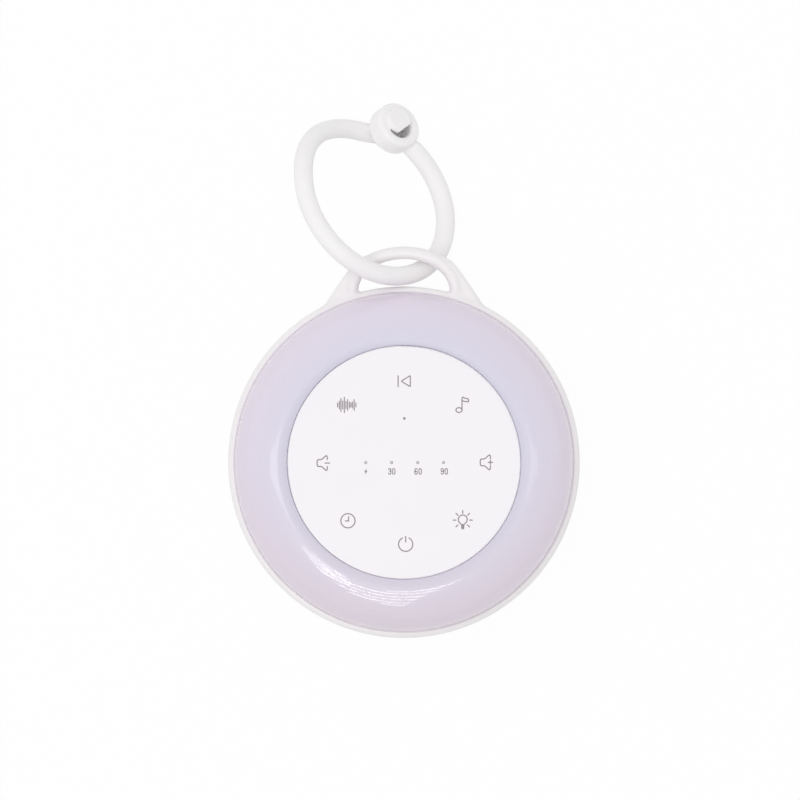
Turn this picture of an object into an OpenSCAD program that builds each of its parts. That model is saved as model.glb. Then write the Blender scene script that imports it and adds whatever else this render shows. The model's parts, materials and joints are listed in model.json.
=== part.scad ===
// White noise sound machine: a round bowl with a night light ring, a touch panel
// and a hanger arch that a silicone strap loops through.
// It lies on its back: the origin is the centre of its rest plane, +Z points out of
// the touch panel and +Y points to the hanger.

/* [Body] */
// Outer diameter of the round body
body_d = 105; // [102:1:112]
// Height from the table to the crest of the light ring
body_h = 44; // [43:0.5:48]
// Height of the rear housing's rim above the table
rim_h = 31; // [30:0.5:32.5]
// Radius of the round corner between back and side
corner_r = 16; // [14:0.5:17]
// Radius of the rounded rim edge
rim_round = 1.6; // [0.8:0.1:1.8]
// Wall of the rear housing
shell_t = 2; // [1.8:0.1:2.2]
// How far the rubber feet stand proud of the back
foot_h = 1.5; // [1:0.1:2]
// Diameter of a rubber foot
foot_d = 9; // [8:0.5:9.5]
// Depth of the recess that a foot is glued into
foot_recess = 1; // [0.8:0.1:1.2]
// Distance of the feet and housing screws from the edge of the flat back
foot_inset = 5.5; // [5:0.1:6.5]

/* [Hanger arch] */
// Width of the opening under the arch
arch_open_w = 27.2; // [25:0.2:29]
// Height of that opening above the edge of the body
arch_open_h = 8.2; // [7.8:0.1:10]
// Thickness of the arch at its top, seen from the front
arch_rod_w = 3.7; // [3.2:0.1:4.4]
// Depth of the arch at its top, from front to back
arch_rod_h = 4.4; // [4:0.1:4.6]
// Depth of the arch where it joins the body
arch_foot_h = 8; // [6:0.5:9]
// Radius of the arch's outer curve
arch_outer_r = 25.7; // [24:0.1:28]
// Half angle of the outer curve before it runs down to its foot
arch_outer_half = 33; // [28:1:38]
// Angle from the arch's middle at which its outer edge meets the body
arch_foot_a = 31; // [29:1:35]
// How far the middle of the arch lies below the rim
arch_drop = 2.3; // [2.2:0.1:2.6]
// How far the web between rod and shoulder lies below the rod's crest
arch_web_drop = 0.9; // [0.6:0.1:1.2]

/* [Light ring] */
// Gap between the light ring and the rear housing's wall
ring_gap = 0.15; // [0.1:0.05:0.3]
// Wall of the light ring
ring_t = 2; // [1.6:0.1:2.2]
// Height of the ring's straight flank above the chassis
flank_h = 2.9; // [2.5:0.1:4]
// Width of the rounded lip between the touch panel and the ring's crest
lip_w = 2.5; // [2.3:0.1:3.5]
// Drop of that lip towards the touch panel
lip_drop = 0.85; // [0.5:0.05:1.1]
// Width of a snap hook, as an angle
hook_a = 7; // [5:1:9]
// How far a snap hook catches under the chassis
hook_catch = 0.8; // [0.6:0.1:1]

/* [Touch panel] */
// Diameter of the touch panel
panel_d = 69.7; // [68:0.1:70.5]
// Thickness of the touch panel
panel_t = 2; // [1.6:0.1:2.4]
// Drop from the crest to the face of the touch panel
panel_drop = 1.2; // [1:0.1:2]
// Gap round the touch panel
panel_gap = 0.15; // [0.1:0.05:0.3]
// Radius of the touch panel's rounded edge
panel_round = 0.5; // [0.3:0.1:0.8]
// Thickness of the adhesive sheet under the panel
tape_t = 0.2; // [0.1:0.05:0.3]
// Thickness of the touch circuit board
touch_board_t = 1.2; // [0.8:0.1:1.4]
// Wall of the panel frame
frame_t = 1.6; // [1.4:0.1:2]
// Width of the flange that the light ring's inner edge rests on
flange_w = 2.6; // [2:0.1:3]
// Distance between the small indicator lights
light_pitch = 7.7; // [7:0.1:8.5]
// Height of the status light above the panel's middle
status_y = 13.1; // [10:0.5:15]

/* [Chassis and light board] */
// Depth of the chassis seat below the rim
chassis_drop = 4; // [3.8:0.1:4.5]
// Thickness of the chassis plate
chassis_t = 1.6; // [1.4:0.1:2]
// Thickness of the light board
led_board_t = 1; // [0.8:0.1:1.4]
// Gap between the panel frame and the light board
led_frame_gap = 3.8; // [3.2:0.1:4.5]
// Gap between the light board and the light ring's wall
led_ring_gap = 1.35; // [0.8:0.05:2]
// Number of night light LEDs
led_count = 12; // [8:1:18]

/* [Speaker] */
// Diameter of the speaker
speaker_d = 40; // [38:0.5:41]
// Diameter of the sound opening in the back
sound_d = 36; // [33:0.5:36.5]
// Diameter of the perforated grille disc
grille_d = 42; // [40:0.5:44]
// Thickness of the grille disc
grille_t = 1; // [0.8:0.1:1.1]
// Diameter of a grille hole
grille_hole_d = 1.8; // [1.2:0.1:2.2]
// Distance between the rings of grille holes
grille_pitch = 3.1; // [2.8:0.1:3.3]
// Thickness of the dust cloth
cloth_t = 0.3; // [0.2:0.1:0.4]
// Thickness of the foam gasket
gasket_t = 1.6; // [1.5:0.1:2]
// Diameter of the pole piece in the voice coil
pole_d = 12.6; // [11:0.2:13]
// Diameter of the magnet
magnet_d = 28; // [24:0.5:30]
// Thickness of the magnet
magnet_t = 4.5; // [3:0.5:5]
// Travel of the cone each way
cone_travel = 0.8; // [0.4:0.1:1]

/* [Electronics] */
// Thickness of the main circuit board
board_t = 1.2; // [1:0.1:1.6]
// Height of the main board's underside above the table
board_z = 12.4; // [11.8:0.1:13]
// Width of the main board
board_w = 49; // [47:0.5:50]
// Distance of the main board's straight edge from the centre
board_edge = 27.4; // [27.2:0.1:28]
// Width of the USB-C socket's shell
usb_w = 8.94; // [8.9:0.01:9]
// Height of the USB-C socket's shell
usb_h = 3.2; // [3.1:0.01:3.3]
// Length of the USB-C socket's shell
usb_l = 7.4; // [6.5:0.1:8]
// Depth of the socket's mouth below the wall's surface
usb_recess = 1; // [0.6:0.1:1.2]
// Angle from the USB-C socket to the lock slider
lock_a = 22; // [20:1:23]
// Travel of the lock slider
lock_travel = 2.2; // [1.6:0.1:2.4]
// Length of the battery cell
cell_l = 50; // [44:1:51]
// Width of the battery cell
cell_w = 34; // [28:1:35]
// Gap between the battery cell and the touch board
cell_gap = 1.9; // [1.5:0.1:3]

/* [Screws] */
// Thread diameter of the housing screws
screw_d = 3; // [2.6:0.1:3]
// Length of the housing screws
screw_l = 16; // [14:0.5:17]
// Thread diameter of the small screws
small_screw_d = 2.2; // [2:0.1:2.3]

/* [Strap] */
// Diameter of the silicone strap
strap_d = 5.7; // [5:0.1:5.8]
// Radius of the strap's loop
loop_r = 25.5; // [25:0.1:27]
// Angle between the loop's middle line and each straight end
loop_half = 72.5; // [70:0.5:75]
// Diameter of the eyelet at the strap's end
eyelet_d = 14.6; // [13.5:0.1:15]
// Length of the eyelet along its hole
eyelet_h = 5; // [4.6:0.1:5.2]
// Diameter of the eyelet's hole
eyelet_hole_d = 8.2; // [7.6:0.1:8.4]
// Diameter of the stud that goes through the eyelet
stud_d = 4.8; // [4.2:0.1:5]
// Diameter of the stud's head
stud_head_d = 6.6; // [6.4:0.1:6.8]
// How far the head stands above the eyelet
stud_head_h = 3.6; // [3:0.1:4]
// Distance of the eyelet from the body's centre, to the side
eyelet_x = -3.35; // [-4:0.05:-3]
// Distance of the eyelet beyond the top of the arch
eyelet_up = 35.3; // [34.8:0.1:35.8]

/* [Hidden] */
$fn = 96;
quarter = tan(22.5);
touch = 0.01;
over = 1;
bend_steps = 10;

body_r = body_d / 2;
back_r = body_r - corner_r;
corner_z = foot_h + corner_r;
floor_z = foot_h + shell_t;
foot_circle_r = back_r - foot_inset;
cavity_r = body_r - shell_t;
boss_base_z = foot_h + shell_t / 2;

chassis_z = rim_h - chassis_drop;
deck_z = chassis_z + chassis_t;
chassis_r = cavity_r - ring_gap;

ring_r = cavity_r - ring_gap;
ring_inner_r = panel_d / 2 + panel_gap;
crest_r = ring_inner_r + lip_w;
dome_z = deck_z + flank_h;
dome_steps = 20;

panel_z = body_h - panel_drop - panel_t;
tape_z = panel_z - tape_t;
touch_board_z = tape_z - touch_board_t;
frame_r = panel_d / 2 - 0.45;
frame_in = frame_r - frame_t;
touch_board_r = frame_in - 0.3;
frame_screw_l = touch_board_z - chassis_z - 4.4;
led_board_in = frame_r + led_frame_gap;
led_board_out = ring_r - ring_t - led_ring_gap;
led_circle_r = (led_board_in + led_board_out) / 2;
frame_ledge_w = 1.8;
frame_ledge_t = 1.2;
light_well_d = 2.4;
light_well_t = 1.2;
LIGHTS = [
  [0, status_y],
  [-1.5 * light_pitch, 0],
  [-0.5 * light_pitch, 0],
  [0.5 * light_pitch, 0],
  [1.5 * light_pitch, 0]
];

// Arch: an ellipse inside, an arc and a curved shoulder outside
arch_n = 16;
arch_sides = 28;
rod_r = arch_rod_w / 2;
rod_half = arch_rod_h / 2;
web_fillet = 0.3;
arch_z = rim_h - arch_drop;
arch_top = body_r + arch_open_h + arch_rod_w;
arch_inner_cy = body_r - 1.3;
arch_inner_b = body_r + arch_open_h - arch_inner_cy;
arch_outer_cy = arch_top - arch_outer_r;
eyelet_y = arch_top + eyelet_up;
arch_leg_l = 5;
arch_straight = 0.75;
arch_shoulder = 0.45;
arch_handle_l = 3;
arch_sunk = 1.5;

post_d = 8.4;
post_top = 14;
head_z = 8;
head_d = 5.4;
head_t = 2.2;
clear = 0.2;
small_head_d = 4.2;
small_head_t = 1.6;
rib_t = 1.6;
rib_in = 46;
rib_low = 8;
rib_count = 5;
hook_h = 3;
hook_w = 1.6;

grille_recess = 1.2;
cloth_z = floor_z;
gasket_z = cloth_z + cloth_t;
surround_t = 0.4;
speaker_z = gasket_z + gasket_t + surround_t;
speaker_r = speaker_d / 2;
flange_t = 1;
basket_in = speaker_r - 2.6;
roll_r = 1.1;
roll_t = 0.35;
cone_r = basket_in - 2 * roll_r;
pole_r = pole_d / 2;
coil_in = pole_r + 0.35;
coil_t = 0.2;
winding_t = 0.25;
plate_bore = coil_in + coil_t + winding_t + 0.25;
neck_z = 4.2;
coil_z = neck_z - 0.5;
cap_h = 1.8;
cap_t = 0.4;
cap_flat_r = 1.5;
spider_z = 5.8;
spider_rim = 1.9;
spider_wave = 0.45;
spider_r = speaker_r - 6.3;
basket_z = 8.6;
plate_t = 1.8;
plate_z = basket_z + 1;
magnet_z = plate_z + plate_t;
yoke_z = magnet_z + magnet_t;
yoke_t = 1.7;
spk_screw_r = speaker_r + 2.5;
spk_screw_d = 2;
spk_head_d = 6;
spk_boss_d = 4.6;

board_top = board_z + board_t;
board_r = cavity_r - 3;
board_post = [20.5, 32];
usb_z = board_top + usb_h / 2;
usb_face = body_r - usb_recess;
lock_z = board_top + 1.5;
lock_pad = [2.5, 15, 7];
lock_floor = body_r - 1.6;
lock_stem = [4.4, 2.3];
lock_slot = [lock_stem.x + lock_travel + 0.5, lock_stem.y + 0.5];
lock_at = -lock_travel / 2;
lever = [1.4, 1.2];
lever_in = board_r - 3.4;
lever_out = board_r + 0.6;
switch_d = 4;
plug = [6, 4.4, 3.4];
// Places on the main board: x, and the distance from its round or its straight edge
plug_row = board_edge + 4.2;
light_plug_x = -20;
PLUGS = [
  [11, plug_row],
  [3.5, plug_row],
  [light_plug_x, sqrt(board_r * board_r - light_plug_x * light_plug_x) - 4.1]
];
CHIPS = [[3.5, 8], [-6.5, 6.5], [11.1, 10.5]];
CHIP_SIZES = [[5, 5, 0.9], [6, 4, 1.4], [3.2, 3.2, 0.9]];
COILS = [[9.5, 6], [-12.4, 4.7]];
coil_size = [4, 4, 2.2];
capacitor_at = [-12.8, 9.1];
capacitor_d = 4;
capacitor_h = 5.4;
lead_hole = [10, board_edge + 2];
light_lead_a = -112;
frame_boss = [24.5, 10];
frame_boss_d = 5.4;
ribbon_x = -5;
ribbon_w = 6;
ribbon_y = 28.6;
ribbon_t = 0.3;
ribbon_bend = 2;
pad_t = 0.5;
cell_z = deck_z + pad_t;
cell_t = touch_board_z - cell_gap - cell_z;
guard_w = 24;
guard_t = 1;
guard_z = cell_z + 1;
guard_h = cell_t - 2.4;

strap_r = strap_d / 2;
strap_sides = 18;
strap_rings = 64;
strap_turn = [-24, 37.5, -31.4];
straight_l = loop_r / tan(loop_half);
loop_cy = -loop_r / sin(loop_half);
root_at = (eyelet_hole_d + eyelet_d) / 4;
root_l = straight_l - root_at;
arc_l = loop_r * (180 + 2 * loop_half) * PI / 180;
stud_at = [-1.1, 0.3];
tail_l = straight_l + strap_r * 0.9;
strap_l = root_l + arc_l + tail_l;
tail_drop = eyelet_h / 2 + strap_r + 0.3;
drop_l = 40;
hole_round = 1;

// ---- Outlines with round stretches ----

// Centre and radius of the arc from a to b, whose height is k times half its chord
function arc_r(a, b, k) = norm(b - a) / 4 * (1 / abs(k) + abs(k));
function arc_c(a, b, k) =
  let(d = b - a, m = (a + b) / 2, n = [d.y, -d.x] / norm(d))
  m + n * (k * norm(d) / 2 - sign(k) * arc_r(a, b, k));

module arc_segment(a, b, k) {
  side = [(b - a).y, -(b - a).x] / 2 * k * 1.01;
  intersection() {
    translate(arc_c(a, b, k)) circle(r = arc_r(a, b, k));
    polygon([a, b, b + side, a + side]);
  }
}

function edges(corners) =
  let(last = len(corners) - 1)
  [
    for (i = [0:last])
      let(p = corners[i], q = corners[i == last ? 0 : i + 1]) [[p.x, p.y], [q.x, q.y], p.z]
  ];

// Closed outline, counterclockwise. Each corner is [x, y, k], and k is how far the
// edge that starts there bulges outwards: its height over half its chord.
module outline(corners) {
  polygon([for (p = corners) [p.x, p.y]]);
  for (e = edges(corners)) if (e[2] > 0) arc_segment(e[0], e[1], e[2]);
}

function spin(v, a) = [v.x * cos(a) - v.y * sin(a), v.x * sin(a) + v.y * cos(a)];
function bent_edge(a, b, k) =
  let(c = arc_c(a, b, k))
  [for (i = [0:bend_steps - 1]) c + spin(a - c, 4 * atan(k) * i / bend_steps)];

// The same for a thin wall, as one polygon: here k may be negative, and bends inwards
module wall_outline(corners) {
  polygon([for (e = edges(corners)) each (e[2] == 0 ? [e[0]] : bent_edge(e[0], e[1], e[2]))]);
}

module rounded_rect(w, h, r) {
  outline([
    [r - w / 2, -h / 2, 0], [w / 2 - r, -h / 2, quarter],
    [w / 2, r - h / 2, 0], [w / 2, h / 2 - r, quarter],
    [w / 2 - r, h / 2, 0], [r - w / 2, h / 2, quarter],
    [-w / 2, h / 2 - r, 0], [-w / 2, r - h / 2, quarter]
  ]);
}

module ring(outer, inner, h) {
  difference() {
    cylinder(r = outer, h = h);
    translate([0, 0, -over]) cylinder(r = inner, h = h + 2 * over);
  }
}

module four_corners(p) {
  for (x = [-1, 1], y = [-1, 1]) translate([x * p.x, y * p.y]) children();
}

module at_feet() {
  four_corners([foot_circle_r * cos(45), foot_circle_r * sin(45)]) children();
}

// ---- Swept tubes ----

// Skin over rings of points, closed at both ends
module skin(rings) {
  m = len(rings[0]);
  n = len(rings);
  sides = [
    for (i = [0:n - 2], j = [0:m - 1])
      [i * m + j, (i + 1) * m + j, (i + 1) * m + (j + 1) % m, i * m + (j + 1) % m]
  ];
  ends = [[for (j = [0:m - 1]) j], [for (j = [m - 1:-1:0]) (n - 1) * m + j]];
  polyhedron(points = [for (r = rings) each r], faces = concat(sides, ends));
}

function unit(v) = v / norm(v);
function headings(path) =
  let(last = len(path) - 1)
  [for (i = [0:last]) unit(path[min(i + 1, last)] - path[max(i - 1, 0)])];

// Rings of a round tube along a path with its headings: up is any direction that
// the path never takes
function tube_rings(path, heads, radii, sides, up) = [
  for (i = [0:len(path) - 1])
    let(t = heads[i], u = unit(cross(up, t)), v = cross(t, u))
      [for (j = [0:sides - 1]) path[i] + radii[i] * (cos(360 * j / sides) * u + sin(360 * j / sides) * v)]
];

function bezier(p, t) =
  p[0] * pow(1 - t, 3) + p[1] * 3 * t * pow(1 - t, 2) + p[2] * 3 * t * t * (1 - t) + p[3] * pow(t, 3);

// A short wire: one curve from a to b that leaves along da and arrives along db
module wire(a, da, b, db, d, up) {
  n = 12;
  path = [for (i = [0:n]) bezier([a, a + da, b - db, b], i / n)];
  between = headings(path);
  heads = [for (i = [0:n]) i == 0 ? unit(da) : i == n ? unit(db) : between[i]];
  skin(tube_rings(path, heads, [for (p = path) d / 2], 8, up));
}

// ---- Rear housing ----

module bowl_half(inset) {
  outline([
    [0, foot_h + inset, 0],
    [back_r, foot_h + inset, quarter],
    [body_r - inset, corner_z, 0],
    [body_r - inset, rim_h + over, 0],
    [0, rim_h + over, 0]
  ]);
}

module bowl_outside() {
  rotate_extrude() outline([
    [0, foot_h, 0],
    [back_r, foot_h, quarter],
    [body_r, corner_z, 0],
    [body_r, rim_h - rim_round, quarter],
    [body_r - rim_round, rim_h, 0],
    [0, rim_h, 0]
  ]);
}

// Inner and outer edge of the arch at s, from -1 at the left foot to 1 at the right
function arch_inner(s) =
  let(a = 90 * min(1, abs(s) / arch_straight), leg = max(0, abs(s) - arch_straight) / (1 - arch_straight))
  [sign(s) * arch_open_w / 2 * sin(a), arch_inner_cy + arch_inner_b * cos(a) - arch_leg_l * leg];
function along(a) = [cos(a), -sin(a)];
function arch_shoulder_line() =
  let(
    p = [arch_outer_r * sin(arch_outer_half), arch_outer_cy + arch_outer_r * cos(arch_outer_half)],
    q = (body_r - arch_sunk) * [sin(arch_foot_a), cos(arch_foot_a)]
  )
  [p, p + arch_handle_l * along(arch_outer_half), q - arch_handle_l * along(arch_foot_a + 12), q];
function arch_outer(s) =
  let(
    a = arch_outer_half * abs(s) / arch_shoulder,
    p = abs(s) < arch_shoulder
      ? [arch_outer_r * sin(a), arch_outer_cy + arch_outer_r * cos(a)]
      : bezier(arch_shoulder_line(), (abs(s) - arch_shoulder) / (1 - arch_shoulder))
  )
  [s < 0 ? -p.x : p.x, p.y];

// Section of the arch at the distance u from its inner edge, w wide: a round rod along
// the inner edge, with a lower web outside it. The height is a share of the rod's.
function falls_off(x) = sqrt(max(0, 1 - x * x));
function web_side(u, w) = falls_off(max(0, (u - w + rod_r) / rod_r));
function rod_and_web(u, w) =
  let(
    rod = falls_off((u - rod_r) / rod_r),
    web = u < rod_r ? 0 : (1 - arch_web_drop / rod_half) * web_side(u, w),
    fillet = web_fillet * min(1, (w - u) / rod_r),
    near = fillet > 0 ? max(0, 1 - abs(rod - web) / fillet) : 0
  )
  max(rod, web) + fillet * near * near / 4;

module arch() {
  rings = [
    for (k = [-arch_n:arch_n])
      let(
        s = k / arch_n,
        a = arch_inner(s),
        b = arch_outer(s),
        w = norm(b - a),
        low = rod_half + (arch_foot_h - arch_rod_h) * pow(abs(s), 3)
      )
        [
          for (j = [0:arch_sides - 1])
            let(
              t = 360 * j / arch_sides,
              u = rod_r + (cos(t) > 0 ? w - rod_r : rod_r) * cos(t),
              p = a + (b - a) * u / w,
              under = u < rod_r ? falls_off((u - rod_r) / rod_r) : web_side(u, w)
            )
              [p.x, p.y, arch_z + (sin(t) > 0 ? rod_half * rod_and_web(u, w) : -low * under)]
        ]
  ];
  skin(rings);
}

module lock_place() {
  rotate(lock_a - 90) children();
}

module housing_inside() {
  at_feet() translate([0, 0, boss_base_z]) cylinder(d = post_d, h = post_top - boss_base_z);
  for (k = [0:2]) rotate(120 * k + 30) translate([spk_screw_r, 0, boss_base_z])
    cylinder(d = spk_boss_d, h = speaker_z + flange_t - boss_base_z);
  translate([0, 0, boss_base_z])
    ring(speaker_r + 1.6, speaker_r + 0.25, floor_z + 2 - boss_base_z);
  for (x = [-1, 1]) translate([x * board_post.x, -board_post.y, boss_base_z])
    cylinder(d = 5.2, h = board_z - boss_base_z);
  intersection() {
    bowl_outside();
    union() {
      for (k = [0:rib_count - 1]) rotate(90 + 360 * k / rib_count)
        translate([rib_in, -rib_t / 2, rib_low])
          cube([body_r - shell_t / 2 - rib_in, rib_t, chassis_z - rib_low]);
      lock_place() translate([lock_floor - lock_pad.x, -lock_pad.y / 2, lock_z - lock_pad.z / 2])
        cube(lock_pad);
    }
  }
}

module housing_cuts() {
  at_feet() {
    translate([0, 0, -over]) cylinder(d = foot_d + 0.3, h = foot_h + foot_recess + over);
    cylinder(d = head_d + 0.4, h = head_z);
    cylinder(d = screw_d + clear, h = post_top + over);
  }
  cylinder(d = sound_d, h = floor_z + over);
  cylinder(d = grille_d + 0.3, h = foot_h + grille_recess);
  for (k = [0:2]) rotate(120 * k + 30) translate([spk_screw_r, 0, floor_z])
    cylinder(d = spk_screw_d - 0.3, h = 10);
  for (x = [-1, 1]) translate([x * board_post.x, -board_post.y, floor_z])
    cylinder(d = small_screw_d - 0.3, h = board_z);
  translate([0, -cavity_r + 6, usb_z]) rotate([90, 0, 0])
    linear_extrude(12) rounded_rect(usb_w + 0.5, usb_h + 0.5, usb_h / 2 + 0.2);
  lock_place() {
    translate([lock_floor, -6.5, lock_z - 2.8]) cube([5, 13, 5.6]);
    translate([lock_floor - 10, -lock_slot.x / 2, lock_z - lock_slot.y / 2])
      cube([15, lock_slot.x, lock_slot.y]);
  }
}

module rear_housing() {
  color("whitesmoke") difference() {
    union() {
      difference() {
        bowl_outside();
        rotate_extrude() bowl_half(shell_t);
      }
      // The arch ends inside the wall, so that its feet melt into the body
      difference() {
        arch();
        cylinder(r = body_r - shell_t / 2, h = body_h);
      }
      housing_inside();
    }
    housing_cuts();
  }
}

module rubber_feet() {
  color("gainsboro") at_feet() rotate_extrude() outline([
    [0, 0, 0],
    [foot_d / 2 - 0.6, 0, quarter],
    [foot_d / 2, 0.6, 0],
    [foot_d / 2, foot_h + foot_recess, 0],
    [0, foot_h + foot_recess, 0]
  ]);
}

module screw(d, l, hd, ht) {
  difference() {
    union() {
      cylinder(d = d, h = l);
      translate([0, 0, -ht]) cylinder(d = hd, h = ht);
    }
    translate([0, 0, -ht - over]) cylinder(d = hd * 0.45, h = over + ht * 0.5, $fn = 6);
  }
}

module housing_screws() {
  color("silver") at_feet() translate([0, 0, head_z]) screw(screw_d - 0.2, screw_l, head_d, head_t);
}

// ---- Speaker, facing the back ----

module speaker_grille() {
  color("whitesmoke") translate([0, 0, foot_h + grille_recess - grille_t]) linear_extrude(grille_t)
    difference() {
      circle(d = grille_d);
      circle(d = grille_hole_d);
      for (k = [1:5], i = [0:6 * k - 1]) rotate(60 * i / k) translate([k * grille_pitch, 0])
        circle(d = grille_hole_d);
    }
}

module grille_cloth() {
  color("dimgray") translate([0, 0, cloth_z]) cylinder(r = speaker_r, h = cloth_t);
}

module speaker_gasket() {
  color("darkslategray") translate([0, 0, gasket_z]) ring(speaker_r, basket_in + 0.2, gasket_t);
}

module speaker_frame() {
  color("dimgray") translate([0, 0, speaker_z]) difference() {
    rotate_extrude() polygon([
      [basket_in, 0], [speaker_r, 0], [speaker_r, flange_t], [basket_in + 1.2, flange_t],
      [spider_r + 1.1, spider_z + 0.5], [spider_r - 0.7, basket_z], [spider_r - 0.7, plate_z],
      [plate_bore + 0.4, plate_z], [plate_bore + 0.4, basket_z], [spider_r - 1.6, basket_z],
      [spider_r - 1.6, spider_z + surround_t], [spider_r + 0.1, spider_z + surround_t],
      [basket_in, flange_t]
    ]);
    for (k = [0:3]) rotate(90 * k + 45) translate([spider_r - 1, -4, flange_t + 0.8])
      cube([10, 8, spider_z - flange_t - 1.4]);
  }
}

module speaker_terminal() {
  color("burlywood") translate([-3, -basket_in - 2, speaker_z + flange_t]) cube([6, 0.8, 4.5]);
}

module speaker_surround() {
  hollow_r = roll_r - roll_t;
  color("black") translate([0, 0, speaker_z]) rotate_extrude() difference() {
    union() {
      intersection() {
        translate([cone_r + roll_r, -surround_t]) circle(r = roll_r);
        translate([cone_r, -surround_t - roll_r]) square([2 * roll_r, roll_r]);
      }
      translate([cone_r, -surround_t]) square([speaker_r - 0.3 - cone_r, surround_t]);
    }
    translate([cone_r + roll_r, -surround_t]) circle(r = hollow_r);
    translate([cone_r + roll_r - hollow_r, -surround_t]) square([2 * hollow_r, 2 * surround_t]);
  }
}

module speaker_cone() {
  color("slategray") translate([0, 0, speaker_z]) rotate_extrude() polygon([
    [coil_in + coil_t, coil_z], [cone_r - 0.02, -0.4], [cone_r - 0.02, 0], [coil_in + coil_t, neck_z]
  ]);
}

module speaker_dust_cap() {
  r = coil_in + coil_t;
  k = tan(atan(cap_h / (r - cap_flat_r)) / 2);
  color("black") translate([0, 0, speaker_z + coil_z]) rotate_extrude() wall_outline([
    [0, -cap_h - cap_t, 0],
    [cap_flat_r, -cap_h - cap_t, k],
    [r, -cap_t, 0],
    [r, 0, -k],
    [cap_flat_r, -cap_h, 0],
    [0, -cap_h, 0]
  ]);
}

// The winding is longer than the plate, so that the plate stays filled as the cone moves
module voice_coil() {
  winding_z = plate_z - cone_travel;
  winding_top = plate_z + plate_t + cone_travel;
  color("peru") translate([0, 0, speaker_z]) {
    translate([0, 0, coil_z]) ring(coil_in + coil_t, coil_in, winding_top + 0.1 - coil_z);
    translate([0, 0, winding_z])
      ring(coil_in + coil_t + winding_t, coil_in + coil_t / 2, winding_top - winding_z);
  }
}

module speaker_spider() {
  n = 28;
  r0 = coil_in + coil_t;
  span = spider_r - r0;
  // Three waves that die out before the glued rim
  wave = [
    for (i = [0:n])
      let(u = min(1, i / n * span / (span - spider_rim)))
        [r0 + span * i / n, spider_wave * sin(360 * 3 * u) * sin(180 * u)]
  ];
  color("goldenrod") translate([0, 0, speaker_z + spider_z]) rotate_extrude() polygon(concat(
    wave,
    [for (i = [n:-1:0]) wave[i] + [0, surround_t]]
  ));
}

module speaker_top_plate() {
  color("silver") translate([0, 0, speaker_z + plate_z]) ring(magnet_d / 2 - 1, plate_bore, plate_t);
}

module speaker_magnet() {
  color("dimgray") translate([0, 0, speaker_z + magnet_z]) ring(magnet_d / 2, plate_bore + 0.7, magnet_t);
}

module speaker_yoke() {
  color("silver") translate([0, 0, speaker_z]) {
    translate([0, 0, yoke_z]) cylinder(d = magnet_d - 2, h = yoke_t);
    translate([0, 0, plate_z]) cylinder(d = pole_d, h = yoke_z - plate_z);
  }
}

module speaker_screws() {
  color("silver") for (k = [0:2]) rotate(120 * k + 30) translate([spk_screw_r, 0, speaker_z + flange_t])
    mirror([0, 0, 1]) screw(spk_screw_d - 0.4, speaker_z + flange_t - floor_z, spk_head_d, 1.4);
}

// ---- Chassis and night light ----

module chassis() {
  color("white") difference() {
    union() {
      translate([0, 0, chassis_z]) cylinder(r = chassis_r, h = chassis_t);
      at_feet() translate([0, 0, post_top]) cylinder(d = 6.4, h = deck_z - post_top);
    }
    at_feet() translate([0, 0, post_top - over])
      cylinder(d = screw_d, h = screw_l + head_z - post_top + 1.5);
    four_corners(frame_boss) translate([0, 0, chassis_z - over])
      cylinder(d = small_screw_d + clear, h = chassis_t + 2 * over);
    for (k = [0:rib_count - 1]) rotate(90 + 360 * (k + 0.5) / rib_count - hook_a / 2 - 1)
      translate([0, 0, chassis_z - over]) rotate_extrude(angle = hook_a + 2)
        translate([ring_r - hook_w - 0.2, 0]) square([hook_w + 5, chassis_t + 2 * over]);
    translate([lead_hole.x, -lead_hole.y, chassis_z - over]) cylinder(d = 5, h = chassis_t + 2 * over);
    rotate(light_lead_a) translate([(frame_r + led_board_in) / 2, 0, chassis_z - over])
      cylinder(d = 2.6, h = chassis_t + 2 * over);
    translate([ribbon_x - ribbon_w / 2 - 1, -ribbon_y - 0.8, chassis_z - over])
      cube([ribbon_w + 2, 1.6, chassis_t + 2 * over]);
  }
}

module led_board() {
  color("ivory") translate([0, 0, deck_z]) ring(led_board_out, led_board_in, led_board_t);
}

module night_leds() {
  color("lightyellow") for (k = [0:led_count - 1]) rotate(360 * (k + 0.5) / led_count)
    translate([led_circle_r - 1.4, -1.75, deck_z + led_board_t]) cube([2.8, 3.5, 0.8]);
}

// A quarter of an ellipse from the crest to the top of the flank, seen in section
function dome(inset) = [
  for (i = [0:dome_steps])
    let(a = 90 * i / dome_steps)
      [crest_r + (ring_r - crest_r - inset) * sin(a), dome_z + (body_h - dome_z - inset) * cos(a), 0]
];
function reversed(list) = [for (i = [len(list) - 1:-1:0]) list[i]];

module diffuser_ring() {
  lip_k = tan(atan(lip_drop / lip_w) / 2);
  outside = reversed(dome(0));
  hook_low = deck_z - hook_h;
  hook_in = ring_r - hook_w - 0.1;
  color("thistle") {
    rotate_extrude() wall_outline(concat(
      [[ring_inner_r, panel_z, 0], [frame_r + flange_w, panel_z, 0]],
      dome(ring_t),
      [[ring_r - ring_t, deck_z, 0], [ring_r, deck_z, 0]],
      [for (i = [0:dome_steps - 1]) outside[i]],
      [[crest_r, body_h, lip_k], [ring_inner_r, body_h - lip_drop, 0]]
    ));
    for (k = [0:rib_count - 1]) rotate(90 + 360 * (k + 0.5) / rib_count - hook_a / 2)
      rotate_extrude(angle = hook_a) polygon([
        [hook_in, deck_z + 0.5],
        [hook_in, chassis_z - 0.1],
        [hook_in - hook_catch - 0.2, chassis_z - 0.1],
        [hook_in, hook_low],
        [hook_in + hook_w, hook_low],
        [hook_in + hook_w, deck_z + 0.5]
      ]);
  }
}

// ---- Touch panel ----

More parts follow.
